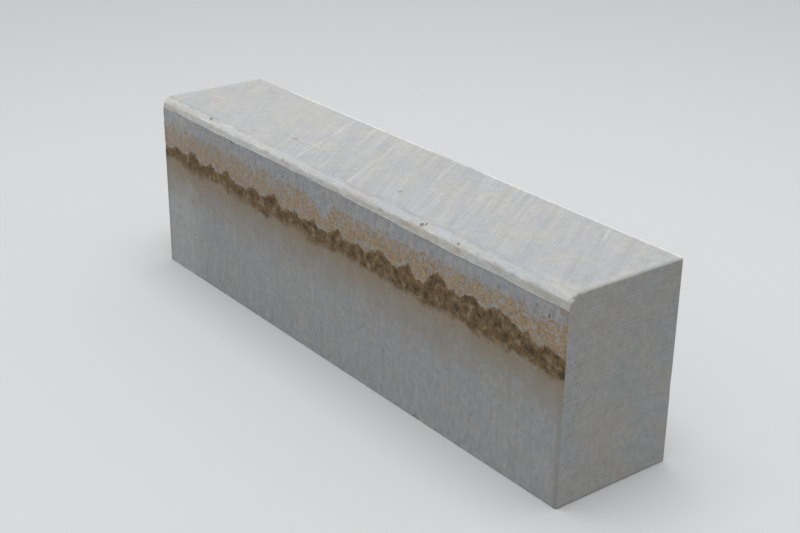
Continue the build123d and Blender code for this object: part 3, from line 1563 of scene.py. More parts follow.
@dataclass(frozen=True)
class GroundTop(Finish):
    """The top face, ground flat, with the strokes of the grinder slanting across it.

    Attributes:
        tool: The fine strokes all over the top.
        fine, bold: Lean of the fine strokes, and of the strokes that stand out.
        mark_tint: How much lighter a stroke or scratch of full strength is.
        mark_core, mark_breaks: Share of its width that is fully lit, and the gaps in it.
        far_calm, near_calm: How the fine strokes weaken towards the two ends.
        mottling, cast: Clouds of lighter and darker, and of warmer and cooler stone.
        wander, score_wander: Slow bends, and how far the scratches follow them.
        front, front_wander: The bluer stone along the nose, and how far its edge follows the bends.
        far_half: The paler far half, a painted sheen.
        near_corner, near_part: The paler edge beside the nose at the near end.
        beside_nose: The darker edge beside the rest of the nose.
        crease, middle_part, worked: The dark line where the nose starts, and what thins it.
        beside_end, end_flat: The paler strip beside each end, and the darker rubbed flat.
        back_arris, flecks: The pale line along the back top edge, bruised stone with a painted highlight,
            and the gaps in it.
        whole_edge, near_spall, past_spall: Where that edge is whole, away from the spalls.
        bruised: How pale the broken edge still is.
        strokes, scores: Strokes that stand out, and scratches that run another way.
        stroke_shine: How much rougher the strokes are.
    """

    title = "ground top"
    crystal_contrast: float = 0.035
    speck_strength: float = 0.12
    grain_relief: float = 0.02
    tool: ToolMarks = ToolMarks(3.6, 62.0, (0.098, 0.095, 0.089), 0.03)
    fine: Slant = Slant(0.74, 0.0003)
    bold: Slant = Slant(0.57, -0.0003)
    mark_tint: Colour = (1.02, 1.0, 0.95)
    mark_core: float = 0.2
    mark_breaks: Patches = Patches(14.0, 2.0, shown=(-2.2, -0.5))
    far_calm: Fade = Fade(-80.0, -300.0, 1.0, 0.4)
    near_calm: Fade = Fade(230.0, 330.0, 1.0, 0.72)
    mottling: Wash = Wash((0.050, 0.050, 0.050), Patches((12.0, 15.0, 12.0), 4.0, 0.6))
    cast: Wash = Wash((0.019, 0.002, -0.023), Patches(10.0, 4.0, 0.65, 70.0))
    wander: Patches = Patches(30.0, 2.0)
    score_wander: float = 0.8
    front: Wash = Wash((-0.022, -0.010, 0.006), Stretch(-22.0, -34.0))
    front_wander: float = 3.0
    # Painted sheen: the far half of the top is paler.
    far_half: Wash = Wash((0.065, 0.060, 0.048), Stretch(60.0, -260.0))
    near_corner: Wash = Wash((0.075, 0.068, 0.05), Stretch(-72.0, -81.0))
    near_part: Stretch = Stretch(375.0, 430.0)
    beside_nose: Wash = Wash((-0.03, -0.025, -0.02), Stretch(-79.0, -83.0))
    crease: Wash = Wash((-0.048, -0.044, -0.036), Stretch(-79.5, -82.0, -83.0, -85.0))
    middle_part: Stretch = Stretch(-230.0, -150.0, 60.0, 150.0)
    worked: Patches = Patches((38.0, 60.0, 60.0), shown=(-0.9, 0.7))
    beside_end: Wash = Wash((0.045, 0.045, 0.04), Stretch(482.0, 490.0, 492.0, 497.0))
    end_flat: Wash = Wash((-0.03, -0.035, -0.045), Stretch(493.5, 499.0))
    # Pale line along the back top edge: bruised stone with a painted highlight.
    back_arris: Wash = Wash((0.44, 0.425, 0.41), Stretch(93.4, 96.4))
    whole_edge: Stretch = Stretch(-425.0, -385.0)
    near_spall: float = 50.0
    past_spall: Stretch = Stretch(38.0, 75.0)
    bruised: float = 0.25
    flecks: Patches = Patches(16.0, shown=(-1.9, -0.4))
    stroke_shine: float = 0.03
    strokes: tuple[Stroke, ...] = (
        Stroke(-204.0, -30.0, 70.0, 1.8, 0.05),
        Stroke(-153.0, -100.0, 100.0, 3.0, 0.15),
        Stroke(-96.0, -60.0, 100.0, 1.6, 0.05),
        Stroke(-60.0, -20.0, 100.0, 2.0, 0.06),
        Stroke(-23.0, -100.0, 95.0, 2.8, 0.14),
        Stroke(60.0, -80.0, 20.0, 1.6, 0.05),
        Stroke(108.0, -30.0, 95.0, 2.2, 0.10),
        Stroke(160.0, -75.0, 60.0, 1.6, 0.05),
        Stroke(228.0, -10.0, 100.0, 1.8, 0.07),
        Stroke(262.0, -70.0, 40.0, 1.5, 0.05),
        Stroke(300.0, 10.0, 85.0, 1.8, 0.06),
        Stroke(370.0, -60.0, 70.0, 1.5, 0.04),
        Stroke(440.0, 52.0, 96.0, 4.5, 0.15),
    )
    scores: tuple[Score, ...] = (
        Score((460.0, -85.0), 76.0, 412.0, 492.0, 0.9, -0.09),
        Score((-300.0, -9033.0), 9000.0, -500.0, -200.0, 1.5, 0.045),
        Score((64.0, -6022.0), 6000.0, -43.0, 171.0, 1.5, 0.06),
        Score((-160.0, 2966.0), 3000.0, -205.0, -112.0, 2.4, 0.13),
    )
    spots: tuple[Spot, ...] = (
        Spot((-181.0, -39.0, 300.0), (9.0, 6.0, 5.0), OCHRE, 0.65),
        Spot((101.0, -48.0, 300.0), (5.0, 7.0, 5.0), (0.33, 0.27, 0.16), 0.6),
        Spot((-289.0, -43.0, 300.0), (5.0, 4.0, 5.0), OCHRE, 0.25),
        Spot((-414.0, 71.0, 300.0), (8.0, 7.0, 5.0), OCHRE, 0.2),
        Spot((-334.0, 84.0, 300.0), (8.0, 6.0, 5.0), OCHRE, 0.2),
        Spot((-157.0, 82.0, 300.0), (7.0, 7.0, 5.0), OCHRE, 0.15),
        Spot((-50.0, -57.0, 300.0), (4.0, 4.0, 5.0), SOOT, 0.2),
        Spot((121.0, -79.0, 300.0), (5.0, 3.0, 5.0), RUST, 0.25),
        Spot((-437.0, -29.0, 300.0), (6.0, 8.0, 5.0), PINK, 0.45),
        Spot((-425.0, -41.0, 300.0), (5.0, 8.0, 5.0), PINK, 0.55),
        Spot((-410.0, 96.0, 300.0), (9.0, 4.0, 5.0), PINK, 0.5),
        Spot((477.0, 49.0, 300.0), (2.0, 2.0, 5.0), SOOT, 0.7),
    )

    def drawn(self, w: Wiring, mark: Stroke | Score, off: Socket, along: Socket) -> Socket:
        """Draw one stroke or scratch.

        Args:
            w: Wiring of the material.
            mark: The stroke or scratch.
            off: Distance from its line.
            along: What its start and end are measured by.

        Returns:
            The change in light.
        """
        line = w.rise(w.math("ABSOLUTE", off), mark.width, mark.width * self.mark_core)
        span = w.strip(along, mark.start, mark.start + mark.taper, mark.end - mark.taper, mark.end)
        return w.times(line, span, mark.strength)

    def marks(self, w: Wiring, place: Socket, across: Socket) -> Socket:
        """Add up how much lighter the single strokes and scratches make each place.

        Args:
            w: Wiring of the material.
            place: Place on the stone in millimetres.
            across: Place across the strokes.

        Returns:
            The change in light.
        """
        x, y, _ = w.split(place)
        light: Feed = 0.0
        for stroke in self.strokes:
            light = w.plus(self.drawn(w, stroke, w.minus(across, stroke.across), y), light)
        uneven = w.times(self.wander.value(w, place), self.score_wander)
        for score in self.scores:
            out_x, out_y = w.minus(x, score.centre[0]), w.minus(y, score.centre[1])
            far = w.math("SQRT", w.plus(w.times(out_x, out_x), w.times(out_y, out_y)))
            off = w.plus(w.minus(far, score.radius), uneven)
            light = w.plus(self.drawn(w, score, off, x), light)
        return w.times(light, self.mark_breaks.mask(w, w.join(across, y, BREAKS_SALT)))

    def dress(self, wiring: Wiring, place: Socket) -> Skin:
        """Join stone, strokes, scratches and stains. See the base class for Args and Returns."""
        w = wiring
        grain = self.stone(w, place)
        x, y, _ = w.split(place)
        ground = self.tool.place(w, self.fine.across(w, x, y), y)
        calm = w.times(self.far_calm.at(w, x), self.near_calm.at(w, x))
        colour = w.lit(grain["Color"], w.times(ground["Light"], calm), self.tool.tint)
        colour = self.mottling.over(w, colour, place)
        colour = self.cast.over(w, colour, place)
        colour = w.lit(colour, self.marks(w, place, self.bold.across(w, x, y)), self.mark_tint)
        bent_y = w.plus(y, w.times(self.wander.value(w, place), self.front_wander))
        colour = self.front.over(w, colour, bent_y)
        # Painted sheen on the far half of the top.
        colour = self.far_half.over(w, colour, x)
        colour = self.near_corner.over(w, colour, y, self.near_part.value(w, x))
        middle = self.middle_part.value(w, x)
        colour = self.beside_nose.over(w, colour, y, w.minus(1.0, middle))
        colour = self.crease.over(w, colour, y, middle, self.worked.mask(w, place))
        colour = self.spotted(w, place, colour)
        off_middle = w.math("ABSOLUTE", x)
        colour = self.beside_end.over(w, colour, off_middle)
        colour = self.end_flat.over(w, colour, off_middle)
        # Pale line along the back top edge, bruised stone with a painted highlight, weaker where the edge
        # is broken.
        off_spall = w.math("ABSOLUTE", w.minus(x, self.near_spall))
        whole = w.times(self.whole_edge.value(w, x), self.past_spall.value(w, off_spall))
        sound = w.times(w.between(whole, self.bruised, 1.0), self.flecks.mask(w, place))
        colour = self.back_arris.over(w, colour, y, sound)
        height = w.times(ground["Height"], self.tool.relief)
        height = w.plus(height, w.times(grain["Height"], self.grain_relief))
        return Skin(colour, w.plus(self.shine_off, w.times(ground["Light"], self.stroke_shine)), height)


@dataclass(frozen=True)
class GroundNose(Finish):
    """The nose, freshly ground by hand, paler than the top and scratched across.

    Attributes:
        tool: The fine strokes all over the nose.
        slant: How far they run along the nose for each length across it.
        bends, bend_height: Slow bends of all the lines along the nose, and their height.
        middle_facet, lower_facet: The light on these facets.
        upper_facet: Where the upper facet lies.
        far_half: Where the far half starts.
        upper_nose: The part above the crease, paler in the far half and darker in the near one.
        foot, far_foot: The darker foot, and how much of it the far half has.
        crease, crease_worked, crease_fade: The dark line over the lower facet, and what thins it.
        patch: Patches of lighter and darker stone.
        patch_strength, lower_patch_strength: Their strength, and what the lower facet adds to it.
        mottling: Painted bluish-white highlights in patches on the upper facet.
        grit, upper_grit: Fine spots, and how many of them the other facets have.
        lines, line_fade: Fine lines along the nose, and how they weaken towards the near end.
        far_lines, far_line_strength: Where they are stronger still, and how much.
        beige, dust_strength: Colour and strength of the dust that lies in streaks along the nose.
        dusty, dust_streaks: Where it lies, and its streaks.
        near_corner, near_part: The paler edge beside the top at the near end.
        foot_edge_highlight, rubbed, far_edge: The pale edge of the foot, bruised stone with a painted
            highlight, and what thins it.
        patch_relief: Height of the patches.
    """

    title = "ground nose"
    cool_grey: Colour = (0.505, 0.517, 0.528)
    warm_grey: Colour = (0.530, 0.524, 0.505)
    crystal_contrast: float = 0.06
    speck_strength: float = 0.12
    shine_off: float = 0.85
    tool: ToolMarks = ToolMarks(2.0, 34.0, (0.038, 0.037, 0.034), 0.02)
    slant: float = 0.25
    bends: Patches = Patches(24.0, 3.0, 0.6)
    bend_height: float = 0.6
    middle_facet: Wash = Wash((0.25, 0.25, 0.245), Stretch(287.5, 293.2, 296.8, 299.0))
    lower_facet: Wash = Wash((0.225, 0.212, 0.192), Stretch(294.0, 291.0))
    far_half: Stretch = Stretch(80.0, -180.0)
    upper_nose: Wash = Wash((0.052, 0.042, 0.026), Stretch(290.0, 293.0))
    foot: Wash = Wash((-0.034, -0.032, -0.036), Stretch(289.5, 286.0))
    far_foot: float = 0.2
    crease: Wash = Wash((-0.085, -0.09, -0.10), Stretch(289.6, 290.6, 291.2, 292.4))
    crease_worked: Patches = Patches((60.0, 1.0, 1.0), shown=(-1.4, 0.4))
    crease_fade: Fade = Fade(10.0, -150.0, 0.15, 1.3)
    patch: Wash = Wash((1.0, 1.03, 1.1), Patches((13.0, 4.0, 4.0), 4.0, 0.65))
    patch_strength: float = 0.042
    lower_patch_strength: float = 0.055
    # Painted bluish-white highlights in patches on the upper facet.
    mottling: Wash = Wash((0.032, 0.034, 0.038), Patches((17.0, 6.0, 6.0), 4.0, 0.62, 60.0))
    upper_facet: Stretch = Stretch(294.5, 297.5)
    grit: Wash = Wash((0.042, 0.044, 0.048), Patches((5.0, 2.6, 2.6), 3.0, 0.6, 30.0))
    upper_grit: float = 0.3
    lines: Wash = Wash((0.040, 0.040, 0.040), Patches((55.0, 1.0, 1.5), 2.0))
    line_fade: Fade = Fade(260.0, -80.0, 0.6, 1.3)
    far_lines: Stretch = Stretch(-60.0, -300.0)
    far_line_strength: float = 0.8
    beige: Colour = (0.52, 0.455, 0.36)
    dusty: Stretch = Stretch(297.0, 291.5)
    dust_streaks: Patches = Patches((30.0, 1.0, 3.5), 4.0, 0.65, shown=(0.0, 1.2))
    dust_strength: float = 0.5
    near_corner: Wash = Wash((0.085, 0.078, 0.06), Stretch(296.5, 298.5))
    near_part: Stretch = Stretch(375.0, 430.0)
    # Pale edge of the foot: bruised stone with a painted highlight.
    foot_edge_highlight: Wash = Wash((0.21, 0.20, 0.185), Stretch(2.2, 1.0))
    rubbed: Patches = Patches((9.0, 5.0, 5.0), 4.0, 0.65, shown=(-0.8, 1.2))
    far_edge: float = 0.75
    patch_relief: float = 0.10
    spots: tuple[Spot, ...] = (
        Spot((-435.0, -95.0, 293.8), (62.0, 4.0, 3.6), (0.63, 0.585, 0.53), 0.6),
        Spot((-354.0, -90.6, 297.0), (6.0, 4.5, 4.5), SOOT, 0.3),
        Spot((-331.0, -89.0, 298.2), (6.0, 4.0, 4.0), SOOT, 0.22),
        Spot((-175.0, -97.0, 291.2), (9.0, 3.5, 3.5), OCHRE, 0.4),
        Spot((-128.0, -97.0, 291.6), (8.0, 3.5, 3.0), OCHRE, 0.55),
        Spot((-112.0, -97.6, 289.2), (12.0, 3.5, 3.0), OCHRE, 0.35),
        # The pale blue spots are painted highlights on the upper facet.
        Spot((12.0, -91.0, 297.0), (26.0, 6.0, 5.0), HIGHLIGHT_BLUE, 0.45),
        Spot((119.0, -97.5, 289.8), (8.0, 3.5, 3.5), OCHRE, 0.45),
        Spot((140.0, -92.0, 297.0), (20.0, 6.0, 5.0), HIGHLIGHT_BLUE, 0.3),
        Spot((200.0, -98.0, 288.0), (52.0, 5.0, 5.0), (0.62, 0.55, 0.45), 0.4),
        Spot((180.0, -98.2, 288.2), (17.0, 4.0, 3.5), OCHRE, 0.35),
        Spot((252.0, -92.0, 297.0), (34.0, 7.0, 6.0), HIGHLIGHT_BLUE, 0.55),
        Spot((288.0, -98.8, 286.6), (11.0, 3.5, 3.2), OCHRE, 0.5),
        Spot((365.0, -97.0, 291.0), (18.0, 4.0, 4.0), OCHRE, 0.3),
        Spot((455.0, -98.0, 286.0), (42.0, 5.0, 5.0), (0.40, 0.375, 0.32), 0.22),
    )

    def dress(self, wiring: Wiring, place: Socket) -> Skin:
        """Join stone, facets, scratches and streaks. See the base class for Args and Returns."""
        w = wiring
        grain = self.stone(w, place)
        x, y, z = w.split(place)
        slope = w.plus(y, z)
        ground = self.tool.place(w, w.plus(x, w.times(slope, self.slant)), slope)
        colour = w.lit(grain["Color"], ground["Light"], self.tool.tint)
        level = w.plus(z, w.times(self.bends.value(w, w.join(x, 0.0, 0.0)), self.bend_height))
        lower = self.lower_facet.where.value(w, level)
        far = self.far_half.value(w, x)
        colour = self.middle_facet.over(w, colour, level)
        colour = w.lit(colour, lower, self.lower_facet.tint)
        colour = self.upper_nose.over(w, colour, level, w.between(far, -1.0, 1.0))
        colour = self.foot.over(w, colour, level, w.between(far, 1.0, self.far_foot))
        worked = self.crease_worked.mask(w, w.join(x, CREASE_SALT, 0.0))
        colour = self.crease.over(w, colour, level, worked, self.crease_fade.at(w, x))
        patch_strength = w.plus(self.patch_strength, w.times(lower, self.lower_patch_strength))
        colour = self.patch.over(w, colour, place, patch_strength)
        # Painted bluish-white highlights on the upper facet.
        colour = self.mottling.over(w, colour, place, self.upper_facet.value(w, level))
        colour = self.grit.over(w, colour, place, w.plus(self.upper_grit, lower))
        stronger = w.times(self.far_lines.value(w, x), self.far_line_strength)
        line_strength = w.plus(self.line_fade.at(w, x), stronger)
        colour = self.lines.over(w, colour, w.join(x, 0.0, level), line_strength)
        streaks = self.dust_streaks.mask(w, w.join(x, DUST_SALT, level))
        dust = w.times(self.dusty.value(w, level), streaks)
        colour = w.blend(w.times(dust, self.dust_strength), colour, (*self.beige, 1.0))
        colour = self.spotted(w, place, colour)
        colour = self.near_corner.over(w, colour, level, self.near_part.value(w, x))
        # Pale edge of the foot, bruised stone with a painted highlight, thinned in patches and in the far
        # half.
        rubbed, paleness = self.rubbed.mask(w, place), w.between(far, 1.0, self.far_edge)
        colour = self.foot_edge_highlight.over(w, colour, w.mark(Mark.ABOVE_FOOT), rubbed, paleness)
        height = w.plus(
            w.times(ground["Height"], self.tool.relief),
            w.times(grain["Height"], self.grain_relief),
            w.times(self.patch.where.value(w, place), self.patch_relief),
        )
        return Skin(colour, self.shine_off, height)


@dataclass(frozen=True)
class RoadFace(Finish):
    """The face to the road, splashed with mud above a band of damp earth.

    Attributes:
        tool: The saw's streaks.
        above_road: Where the part that stands above the road starts.
        buried_contrast: How strong the patches are on the rest.
        bend_size, bend_reach: Size of the bends in the blotches, and how far they bend.
        blotches, broad, cast: Patches of lighter and darker, and of warmer and cooler stone.
        runs, run_wash: Narrow places where water ran down, and the darker stone there.
        far_end: The paler far end.
        shade, shade_edge: The darker strip below the foot of the nose, and its uneven edge.
        lip_shade, lip_shade_kept: The painted shade in a dark line right below the foot, and where it is
            kept.
        joint_dirt_and_shade, joint_edge, joint_wander: The dirt and painted shadow beside the joints, and
        its uneven edge.
        bare_patch, bare_height: Tip of a patch that the mud missed.
        bare_edge, bare_wander, bare_fade: The uneven edge of this patch.
        bareness, rim_bareness: How much less mud there is on it, and on the rim of the earth.
        rim_tint: How much lighter that rim is.
        mud, mud_grain: Colour of the dried splashes, and the grains in it.
        mud_top, mud_fade: Height that the splashes reach, and how they thin towards the far end.
        film_full, film_edge, film_fade: Where the film of mud is whole, its edge and its strength.
        soil_stain, soil_strength: Colour and strength of the stain below the road.
        dark_earth, damp_earth, pale_earth, fringe_earth: Colours of the band of damp earth.
        wettest, driest, fringe_shown: Blotches between which each turns into the next.
        fringe_strength, earth_strength: How strongly its upper edge and the whole band cover.
        mud_relief, earth_relief: Height of the splashes, and of the earth and its blotches.
        mud_shine_off, earth_shine: How much rougher the mud is, and how much less the earth.
    """

    title = "road face"
    cool_grey: Colour = (0.488, 0.500, 0.518)
    warm_grey: Colour = (0.508, 0.508, 0.508)
    crystal_contrast: float = 0.08
    speck_strength: float = 0.30
    grain_relief: float = 0.05
    tool: ToolMarks = ToolMarks(3.8, 24.0, (0.046, 0.044, 0.042), 0.03)
    above_road: Stretch = Stretch(150.0, 200.0)
    buried_contrast: float = 0.5
    bend_size: float = 12.0
    bend_reach: float = 4.0
    blotches: Wash = Wash((0.140, 0.135, 0.127), Patches((9.0, 9.0, 11.0), 4.0, 0.62))
    broad: Wash = Wash((0.048, 0.046, 0.042), Patches(26.0, 3.0, 0.6, 20.0))
    cast: Wash = Wash((0.066, 0.005, -0.074), Patches(7.0, 4.0, 0.65, 50.0))
    runs: Patches = Patches((2.6, 9.0, 24.0), 2.0, shown=(0.5, 1.5))
    run_wash: Wash = Wash((-0.13, -0.13, -0.12), Stretch(262.0, 276.0))
    far_end: Wash = Wash((0.17, 0.165, 0.155), Stretch(-350.0, -445.0))
    shade: Wash = Wash((-0.05, -0.045, -0.035), Stretch(-4.5, -1.5))
    shade_edge: Patches = Patches(14.0)
    # Painted shade: a dark line right below the foot of the nose.
    lip_shade: Wash = Wash((-0.08, -0.09, -0.10), Stretch(-3.2, -1.0))
    lip_shade_kept: Patches = Patches((40.0, 9.0, 9.0), shown=(-0.8, 0.5))
    # Dirt and painted shadow beside the joints at both ends.
    joint_dirt_and_shade: Wash = Wash((-0.13, -0.15, -0.18), Stretch(489.5, 495.0))
    joint_edge: Patches = Patches(9.0)
    joint_wander: float = 1.2
    bare_patch: float = -21.0
    bare_height: float = 229.0
    bare_edge: Patches = Patches(12.0, 2.0)
    bare_wander: float = 4.0
    bare_fade: Point = (-4.0, 6.0)
    bareness: float = 0.9
    rim_bareness: float = 0.15
    rim_tint: Colour = (0.03, 0.033, 0.036)
    mud: Colour = (0.520, 0.375, 0.228)
    mud_top: float = 262.0
    mud_grain: Wash = Wash((0.23, 0.24, 0.26), Patches(3.5, 2.0))
    mud_fade: Fade = Fade(40.0, -260.0, 0.9, 0.65)
    film_full: float = 238.0
    film_edge: float = 3.0
    film_fade: Fade = Fade(40.0, -260.0, 0.22, 0.30)
    soil_stain: Colour = (0.40, 0.335, 0.25)
    soil_strength: float = 0.7
    dark_earth: Colour = (0.105, 0.077, 0.045)
    damp_earth: Colour = (0.238, 0.158, 0.080)
    wettest: Point = (-0.95, -0.05)
    pale_earth: Colour = (0.42, 0.325, 0.215)
    driest: Point = (0.15, 1.2)
    fringe_earth: Colour = (0.33, 0.225, 0.13)
    fringe_shown: Point = (-1.2, 0.4)
    fringe_strength: float = 0.75
    earth_strength: float = 0.97
    mud_relief: float = 0.35
    earth_relief: Point = (0.5, 0.5)
    mud_shine_off: float = 0.15
    earth_shine: float = 0.1
    spots: tuple[Spot, ...] = (
        Spot((-273.0, -100.0, 280.5), (6.0, 4.0, 2.5), RUST, 0.6),
        Spot((489.0, -100.0, 276.0), (5.0, 4.0, 6.0), (0.45, 0.33, 0.21), 0.7),
        Spot((473.0, -100.0, 256.5), (2.8, 4.0, 3.2), SOOT, 0.85),
        Spot((467.5, -100.0, 262.0), (2.6, 4.0, 3.0), SOOT, 0.8),
        Spot((443.5, -100.0, 268.0), (2.4, 4.0, 2.6), SOOT, 0.6),
        Spot((458.0, -100.0, 270.5), (2.4, 4.0, 2.4), SOOT, 0.55),
        Spot((440.5, -100.0, 257.5), (2.6, 4.0, 2.6), SOOT, 0.55),
        Spot((372.5, -100.0, 264.5), (2.6, 4.0, 2.4), SOOT, 0.55),
        Spot((-126.5, -100.0, 266.0), (3.2, 4.0, 3.0), SOOT, 0.7),
    )

    def weathered(self, w: Wiring, place: Socket, colour: Socket) -> Socket:
        """Paint the bare stone's patches, its runs, its shades and its stains.

        Args:
            w: Wiring of the material.
            place: Place on the stone in millimetres.
            colour: Colour of the stone.

        Returns:
            The colour under the mud.
        """
        x, _, z = w.split(place)
        exposed = w.between(self.above_road.value(w, z), self.buried_contrast, 1.0)
        colour = self.blotches.over(w, colour, w.bent(place, self.bend_size, self.bend_reach), exposed)
        colour = self.broad.over(w, colour, place, exposed)
        colour = self.cast.over(w, colour, place, exposed)
        colour = self.run_wash.over(w, colour, z, self.runs.mask(w, place))
        colour = self.far_end.over(w, colour, x)
        above_foot = w.mark(Mark.ABOVE_FOOT)
        colour = self.shade.over(w, colour, w.plus(above_foot, self.shade_edge.value(w, place)))
        # Painted shade in a dark line right below the foot, in patches.
        colour = self.lip_shade.over(w, colour, above_foot, self.lip_shade_kept.mask(w, place))
        # Dirt and painted shadow beside the joints.
        uneven = w.times(self.joint_edge.value(w, place), self.joint_wander)
        colour = self.joint_dirt_and_shade.over(w, colour, w.plus(w.math("ABSOLUTE", x), uneven))
        return self.spotted(w, place, colour)

    def bare(self, w: Wiring, place: Socket) -> Socket:
        """Mask the patch that the mud missed.

        Args:
            w: Wiring of the material.
            place: Place on the stone in millimetres.

        Returns:
            1 on the patch and 0 round it.
        """
        x, _, z = w.split(place)
        uneven = w.times(self.bare_edge.value(w, place), self.bare_wander)
        half_width = w.plus(w.minus(z, self.bare_height), uneven)
        return w.rise(w.minus(half_width, w.math("ABSOLUTE", w.minus(x, self.bare_patch))), *self.bare_fade)

    def earth_colour(self, w: Wiring, earth: Outputs) -> Socket:
        """Mix the colours of the damp earth.

        Args:
            w: Wiring of the material.
            earth: The outputs of the earth band.

        Returns:
            The colour of the earth.
        """
        blotches = earth["Blotches"]
        damp = w.blend(w.rise(blotches, *self.wettest), (*self.dark_earth, 1.0), (*self.damp_earth, 1.0))
        damp = w.blend(w.rise(blotches, *self.driest), damp, (*self.pale_earth, 1.0))
        fringe = w.times(earth["Fringe"], w.rise(blotches, *self.fringe_shown), self.fringe_strength)
        return w.blend(fringe, damp, (*self.fringe_earth, 1.0))

    def dress(self, wiring: Wiring, place: Socket) -> Skin:
        """Join stone, streaks, splashes and earth. See the base class for Args and Returns."""
        w = wiring
        grain = self.stone(w, place)
        x, _, z = w.split(place)
        streaks = self.tool.place(w, x, z)
        colour = w.lit(grain["Color"], streaks["Light"], self.tool.tint)
        colour = self.weathered(w, place, colour)
        above_road = self.above_road.value(w, z)
        earth = EarthBand().place(w, {"Place": place})
        missed = w.minus(1.0, w.times(self.bare(w, place), self.bareness))
        cover = w.times(missed, w.minus(1.0, w.times(earth["Rim"], self.rim_bareness)))
        splash = MudSplash().place(w, {"Place": place, "Top": self.mud_top, "Cover": cover})
        colour = w.lit(colour, earth["Rim"], self.rim_tint)
        film = w.rise(z, self.mud_top + self.film_edge, self.film_full)
        film = w.times(film, cover, above_road, self.film_fade.at(w, x))
        colour = w.blend(film, colour, (*self.mud, 1.0))
        mud = self.mud_grain.over(w, w.join(*self.mud), place)
        colour = w.blend(w.times(splash["Mask"], above_road, self.mud_fade.at(w, x)), colour, mud)
        colour = w.blend(w.times(earth["Stain"], self.soil_strength), colour, (*self.soil_stain, 1.0))
        damp = w.times(earth["Damp"], self.earth_strength)
        colour = w.blend(damp, colour, self.earth_colour(w, earth))
        body, lumps = self.earth_relief
        height = w.plus(
            w.times(grain["Height"], self.grain_relief),
            w.times(streaks["Height"], self.tool.relief),
            w.times(splash["Height"], above_road, self.mud_relief),
            w.times(earth["Damp"], w.plus(body, w.times(earth["Blotches"], lumps))),
        )
        roughness = w.plus(self.shine_off, w.times(splash["Mask"], self.mud_shine_off))
        return Skin(colour, w.minus(roughness, w.times(earth["Damp"], self.earth_shine)), height)


@dataclass(frozen=True)
class SawnFace(Finish):
    """The faces that are hidden when the stone is laid, left as the saw cut them.

    Attributes:
        bed_blade, bed_step: Radius and step of the saw that cut the long faces.
        end_blade, end_step: Radius and step of the saw that cut the ends.
        facing: How far a face has to turn to be taken for an end or for the bed.
        mark_tint, mark_relief: How much lighter the saw's marks are, and their height.
        dust, dust_strength: Colour and strength of the dust left on the faces.
        dust_drifts, dust_shown: Where it lies.
        dust_grain, dust_grain_strength: Fine gaps in it.
    """

    title = "sawn faces"
    cool_grey: Colour = (0.485, 0.495, 0.505)
    warm_grey: Colour = (0.515, 0.508, 0.490)
    crystal_contrast: float = 0.10
    speck_strength: float = 0.40
    shine_off: float = 0.85
    grain_relief: float = 0.06
    bed_blade: float = 1250.0
    bed_step: float = 6.0
    end_blade: float = 420.0
    end_step: float = 4.0
    facing: Point = (0.4, 0.6)
    mark_tint: Colour = (0.06, 0.06, 0.06)
    mark_relief: float = 0.08
    dust: Colour = (0.47, 0.42, 0.345)
    dust_drifts: Patches = Patches(60.0, 4.0, 0.65)
    dust_grain: Patches = Patches(7.0, 2.0)
    dust_grain_strength: float = 0.3
    dust_shown: Point = (0.1, 2.0)
    dust_strength: float = 0.25

    def marks(self, w: Wiring, across: Socket, along: Socket, blade: float, step: float) -> Socket:
        """Draw the marks of one saw.

        Args:
            w: Wiring of the material.
            across: Place across the cut.
            along: Place along it.
            blade: Radius of the saw.
            step: Its step.

        Returns:
            The change in light.
        """
        feeds = {"Across": across, "Along": along, "Blade Radius": blade, "Step": step}
        return SawMarks().place(w, feeds)["Light"]

    def dress(self, wiring: Wiring, place: Socket) -> Skin:
        """Join stone and saw marks. See the base class for Args and Returns."""
        w = wiring
        grain = self.stone(w, place)
        x, y, z = w.split(place)
        normal = w.node("ShaderNodeNewGeometry", {}).outputs["Normal"]
        facing_x, _, facing_z = (w.math("ABSOLUTE", part) for part in w.split(normal))
        on_end, on_bed = w.rise(facing_x, *self.facing), w.rise(facing_z, *self.facing)
        long_cut = self.marks(w, w.between(on_bed, z, y), x, self.bed_blade, self.bed_step)
        end_cut = self.marks(w, y, z, self.end_blade, self.end_step)
        light = w.between(on_end, long_cut, end_cut)
        colour = w.lit(grain["Color"], light, self.mark_tint)
        fine_gaps = w.times(self.dust_grain.value(w, place), self.dust_grain_strength)
        drifts = w.plus(self.dust_drifts.value(w, place), fine_gaps)
        share = w.times(w.rise(drifts, *self.dust_shown), self.dust_strength)
        colour = w.blend(share, colour, (*self.dust, 1.0))
        height = w.plus(w.times(grain["Height"], self.grain_relief), w.times(light, self.mark_relief))
        return Skin(colour, self.shine_off, height)


